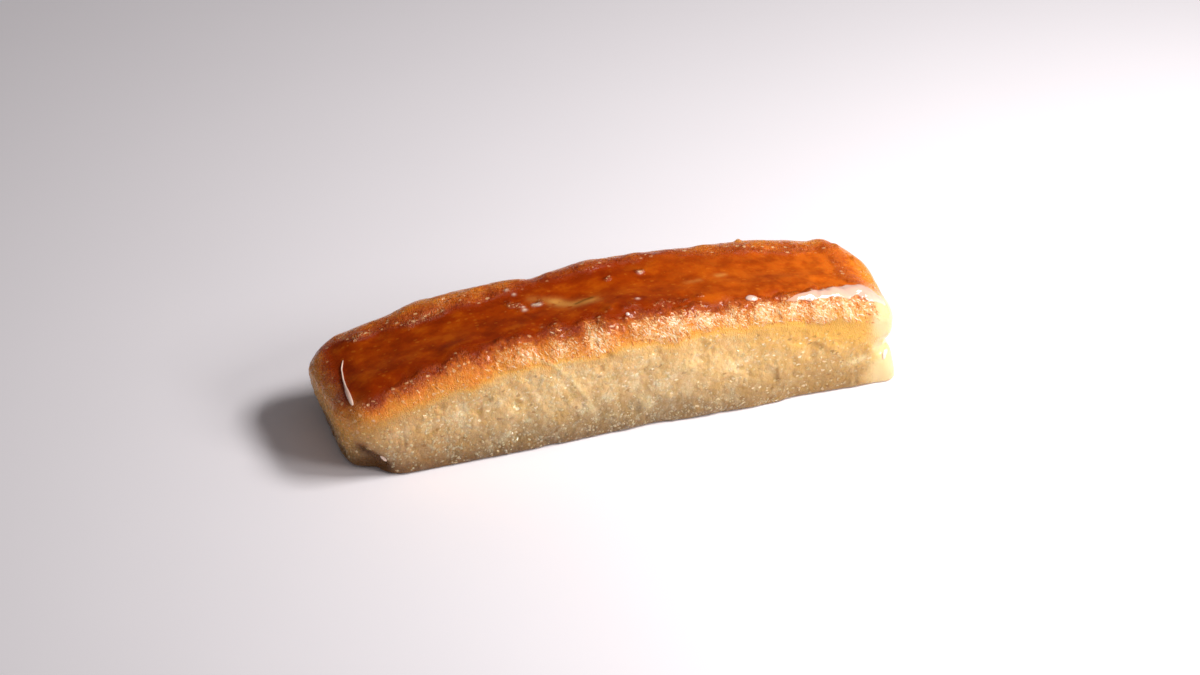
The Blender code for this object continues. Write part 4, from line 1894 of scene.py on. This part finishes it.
@dataclass(frozen=True)
class Crumbs:
    """The loose wet grains in the crumb and the sugary wrinkles on the shoulder."""

    grains: Scatter = Scatter("semolina_grains", 2500, 5, (0.22, 0.48), (1.0, 1.6), 0.55, 0.6)
    flakes: Scatter = Scatter(
        "sugar_wrinkles", 1700, 6, (0.10, 0.20), (2.0, 4.5), 0.8, 0.35, slant=-0.7, slant_spread=0.6
    )
    at_front: Step = Step(-10.0, 4.0, 1.0, 0.0)
    cluster_noise: tuple[float, int] = (3.0, 85)
    clusters: Step = Step(-0.5, 0.5, 0.25, 1.0)
    in_crumb: Step = Step(0.15, 1.0)
    in_deep_shade: Step = Step(0.6, 0.85, 1.0, 0.0)
    sunny_loss: float = 0.9
    at_left: Step = Step(30.0, 60.0, 1.0, 0.5)
    at_back: float = 0.3
    lowest: float = 0.3
    grain_tone: float = 0.55
    shoulder: Belt = Belt((0.30, 0.40), (0.55, 0.62))
    sugar_power: float = 1.5
    flake_tone: tuple[float, float] = (0.30, 0.80)

    def build(self, surface: Surface) -> None:
        """Makes both kinds.

        Args:
            surface: what they lie on.
        """
        x, y, z = surface.points.T
        marks = surface.marks
        front = self.at_front.at(y)
        thick = self.in_crumb.at(marks["crumb"]) * self.in_deep_shade.at(marks["deep_shade"]) * self.at_left.at(-x)
        thick *= (1.0 - self.sunny_loss * marks["sun"]) * mix(self.at_back, 1.0, front)
        thick *= self.clusters.at(Noise.smooth(surface.points, *self.cluster_noise)) * (z > self.lowest)
        self.grains.build(surface, thick, np.full(len(thick), self.grain_tone), GrainFinish().make())
        wrinkled = marks["sugar"] ** self.sugar_power * self.shoulder.at(marks["level"]) * front
        self.flakes.build(surface, wrinkled, mix(*self.flake_tone, marks["sugar"]), FlakeFinish().make())


def droplet(
    name: str, path: tuple[Point, ...], half_width: float, height: float, highlight_milkiness: float
) -> Film:
    """A short film with round ends, of one half width and one share of painted milky highlight."""
    return Film(name, path, (half_width,), height, (highlight_milkiness,), bluntness=2)


@dataclass(frozen=True)
class Syrup:
    """Where syrup stands on the bar: it catches the lamps, and it carries painted highlights."""

    films: tuple[Film, ...] = (
        Film(
            "syrup_drip_left",
            (
                (-60.2, 3.4, 18.8),
                (-61.4, 0.6, 18.3),
                (-62.2, -3.5, 18.2),
                (-62.6, -8.3, 18.0),
                (-62.5, -12.8, 16.9),
            ),
            (0.13, 0.15, 0.17, 0.24, 0.52, 0.56),
            0.34,
            highlight_milkiness=(0.8, 1.0, 1.0, 0.85, 0.6, 1.0),
        ),
        Film(
            "syrup_glaze_right",
            (
                (38.6, -14.2, 24.4),
                (43.5, -13.9, 24.4),
                (48.5, -13.4, 24.0),
                (53.5, -12.4, 23.2),
                (57.6, -12.2, 22.2),
                (60.6, -13.4, 20.8),
                (62.4, -15.0, 18.4),
            ),
            (0.35, 1.1, 1.6, 1.9, 2.1, 2.0, 1.6),
            0.28,
            highlight_milkiness=(0.4, 0.55, 0.6, 0.6, 0.6, 0.9),
            ragged=0.6,
        ),
        droplet("syrup_droplet_large", ((29.6, -12.5, 25.8), (32.4, -12.9, 25.6)), 0.95, 0.45, 0.7),
        droplet("syrup_droplet_small", ((1.1, -12.0, 27.2), (2.1, -12.1, 27.2)), 0.45, 0.35, 0.7),
        droplet("syrup_droplet_chip", ((-58.3, -17.3, 5.2), (-57.3, -17.6, 3.6)), 0.45, 0.4, 1.0),
        droplet(
            "syrup_notch_right", ((63.6, -16.8, 8.4), (62.3, -17.5, 7.3), (62.0, -17.8, 6.0)), 0.5, 0.4, 1.0
        ),
    )

    def build(self, surface: Surface) -> None:
        """Makes the films, which share one finish.

        Args:
            surface: what they lie on.
        """
        material = SyrupFinish().make()
        for film in self.films:
            film.build(surface, material)


# The studio


@dataclass(frozen=True)
class SoftBox:
    """A rectangular lamp: where it stands, what it faces, its sides, its power and its colour, in metres."""

    name: str
    place: Point
    aim: Point
    sides: tuple[float, float]
    power: float
    colour: Colour = (1.0, 1.0, 1.0)

    def build(self) -> None:
        """Makes the lamp."""
        data = bpy.data.lights.new(self.name, "AREA")
        data.shape = "RECTANGLE"
        data.size, data.size_y = self.sides
        data.energy = self.power
        data.color = self.colour
        lamp = bpy.data.objects.new(self.name, data)
        lamp.location = self.place
        facing = Vector(self.aim) - Vector(self.place)
        lamp.rotation_euler = facing.to_track_quat("-Z", "Y").to_euler()
        bpy.context.scene.collection.objects.link(lamp)


@dataclass(frozen=True)
class Studio:
    """A plain pale floor, soft lamps and the camera. Its lengths are in metres."""

    floor_half: float = 3.0
    floor_colour: Colour = linear(246, 240, 243)
    backdrop: Colour = linear(250, 246, 248)
    ambient: float = 0.30
    azimuth: float = -19.3
    elevation: float = 32.0
    distance: float = 0.87156
    aim: Point = (0.0014796674, 0.0063070927, 0.0103086527)
    lens: float = 114.0
    sensor: float = 36.0
    clip: tuple[float, float] = (0.01, 50.0)
    floor_mottle: float = 40.0
    floor_lighter: float = 1.02
    floor_roughness: float = 0.9
    floor_shine: float = 0.1
    turned_away: Step = Step(-0.3, 0.4, 1.0, 0.10)
    lamps: tuple[SoftBox, ...] = (
        SoftBox("main_softbox", (0.215, -0.09, 0.31), (0.01, 0.0, 0.01), (0.16, 0.10), 1.42),
        SoftBox("front_softbox", (0.24, -0.30, 0.24), (0.01, 0.0, 0.01), (0.12, 0.12), 0.7),
    )

    def build(self) -> None:
        """Makes the floor, the world, the lamps and the camera."""
        self._floor()
        self._world()
        for lamp in self.lamps:
            lamp.build()
        self._camera()
        bpy.context.scene.view_settings.view_transform = "Standard"

    def _floor(self) -> None:
        """A level sheet under the bar with faint mottling, as a plain table has."""
        half = self.floor_half
        mesh = bpy.data.meshes.new("floor")
        corners = [(-half, -half, 0.0), (half, -half, 0.0), (half, half, 0.0), (-half, half, 0.0)]
        mesh.from_pydata(corners, [], [(0, 1, 2, 3)])
        material = bpy.data.materials.new("pale_floor")
        material.use_nodes = True
        nodes = Nodes(material.node_tree)
        shader = material.node_tree.nodes["Principled BSDF"]
        cloud = nodes.noise(nodes.millimetres(), self.floor_mottle, 2.0)
        light = tuple(min(1.0, value * self.floor_lighter) for value in self.floor_colour)
        nodes.put(shader.inputs["Base Color"], nodes.blend(cloud, self.floor_colour, light))
        shader.inputs["Roughness"].default_value = self.floor_roughness
        shader.inputs["Specular IOR Level"].default_value = self.floor_shine
        mesh.materials.append(material)
        floor = bpy.data.objects.new("floor", mesh)
        bpy.context.scene.collection.objects.link(floor)

    def _world(self) -> None:
        """Soft light in front, dim behind the bar so that the glaze stays dark, and pale to the camera."""
        world = bpy.data.worlds.new("studio")
        world.use_nodes = True
        nodes = Nodes(world.node_tree)
        direction = nodes.add("TexCoord").outputs["Generated"]
        parts = nodes.add("SeparateXYZ", {0: direction}).outputs
        dim = nodes.times(nodes.fit(parts["Y"], self.turned_away), self.ambient)
        seen = nodes.add("LightPath").outputs["Is Camera Ray"]
        background = world.node_tree.nodes["Background"]
        background.inputs["Color"].default_value = (*self.backdrop, 1.0)
        nodes.put(background.inputs["Strength"], nodes.between(seen, dim, 1.0))
        bpy.context.scene.world = world

    def _camera(self) -> None:
        """A long lens at the picture's viewing angle."""
        data = bpy.data.cameras.new("camera")
        data.lens, data.sensor_width = self.lens, self.sensor
        data.clip_start, data.clip_end = self.clip
        camera = bpy.data.objects.new("camera", data)
        turn, rise = np.radians(self.azimuth), np.radians(self.elevation)
        back = Vector((np.sin(turn) * np.cos(rise), -np.cos(turn) * np.cos(rise), np.sin(rise)))
        camera.location = Vector(self.aim) + back * self.distance
        camera.rotation_euler = (-back).to_track_quat("-Z", "Y").to_euler()
        bpy.context.scene.collection.objects.link(camera)
        bpy.context.scene.camera = camera


def main() -> None:
    """Builds the pieces in order, then the studio."""
    logging.basicConfig(level=logging.INFO, format="%(name)s %(message)s")
    Effects().build()
    skin = Skin()
    surface = skin.surface()
    skin.build(surface)
    Crumbs().build(surface)
    Syrup().build(surface)
    Studio().build()


if __name__ == "__main__":
    main()
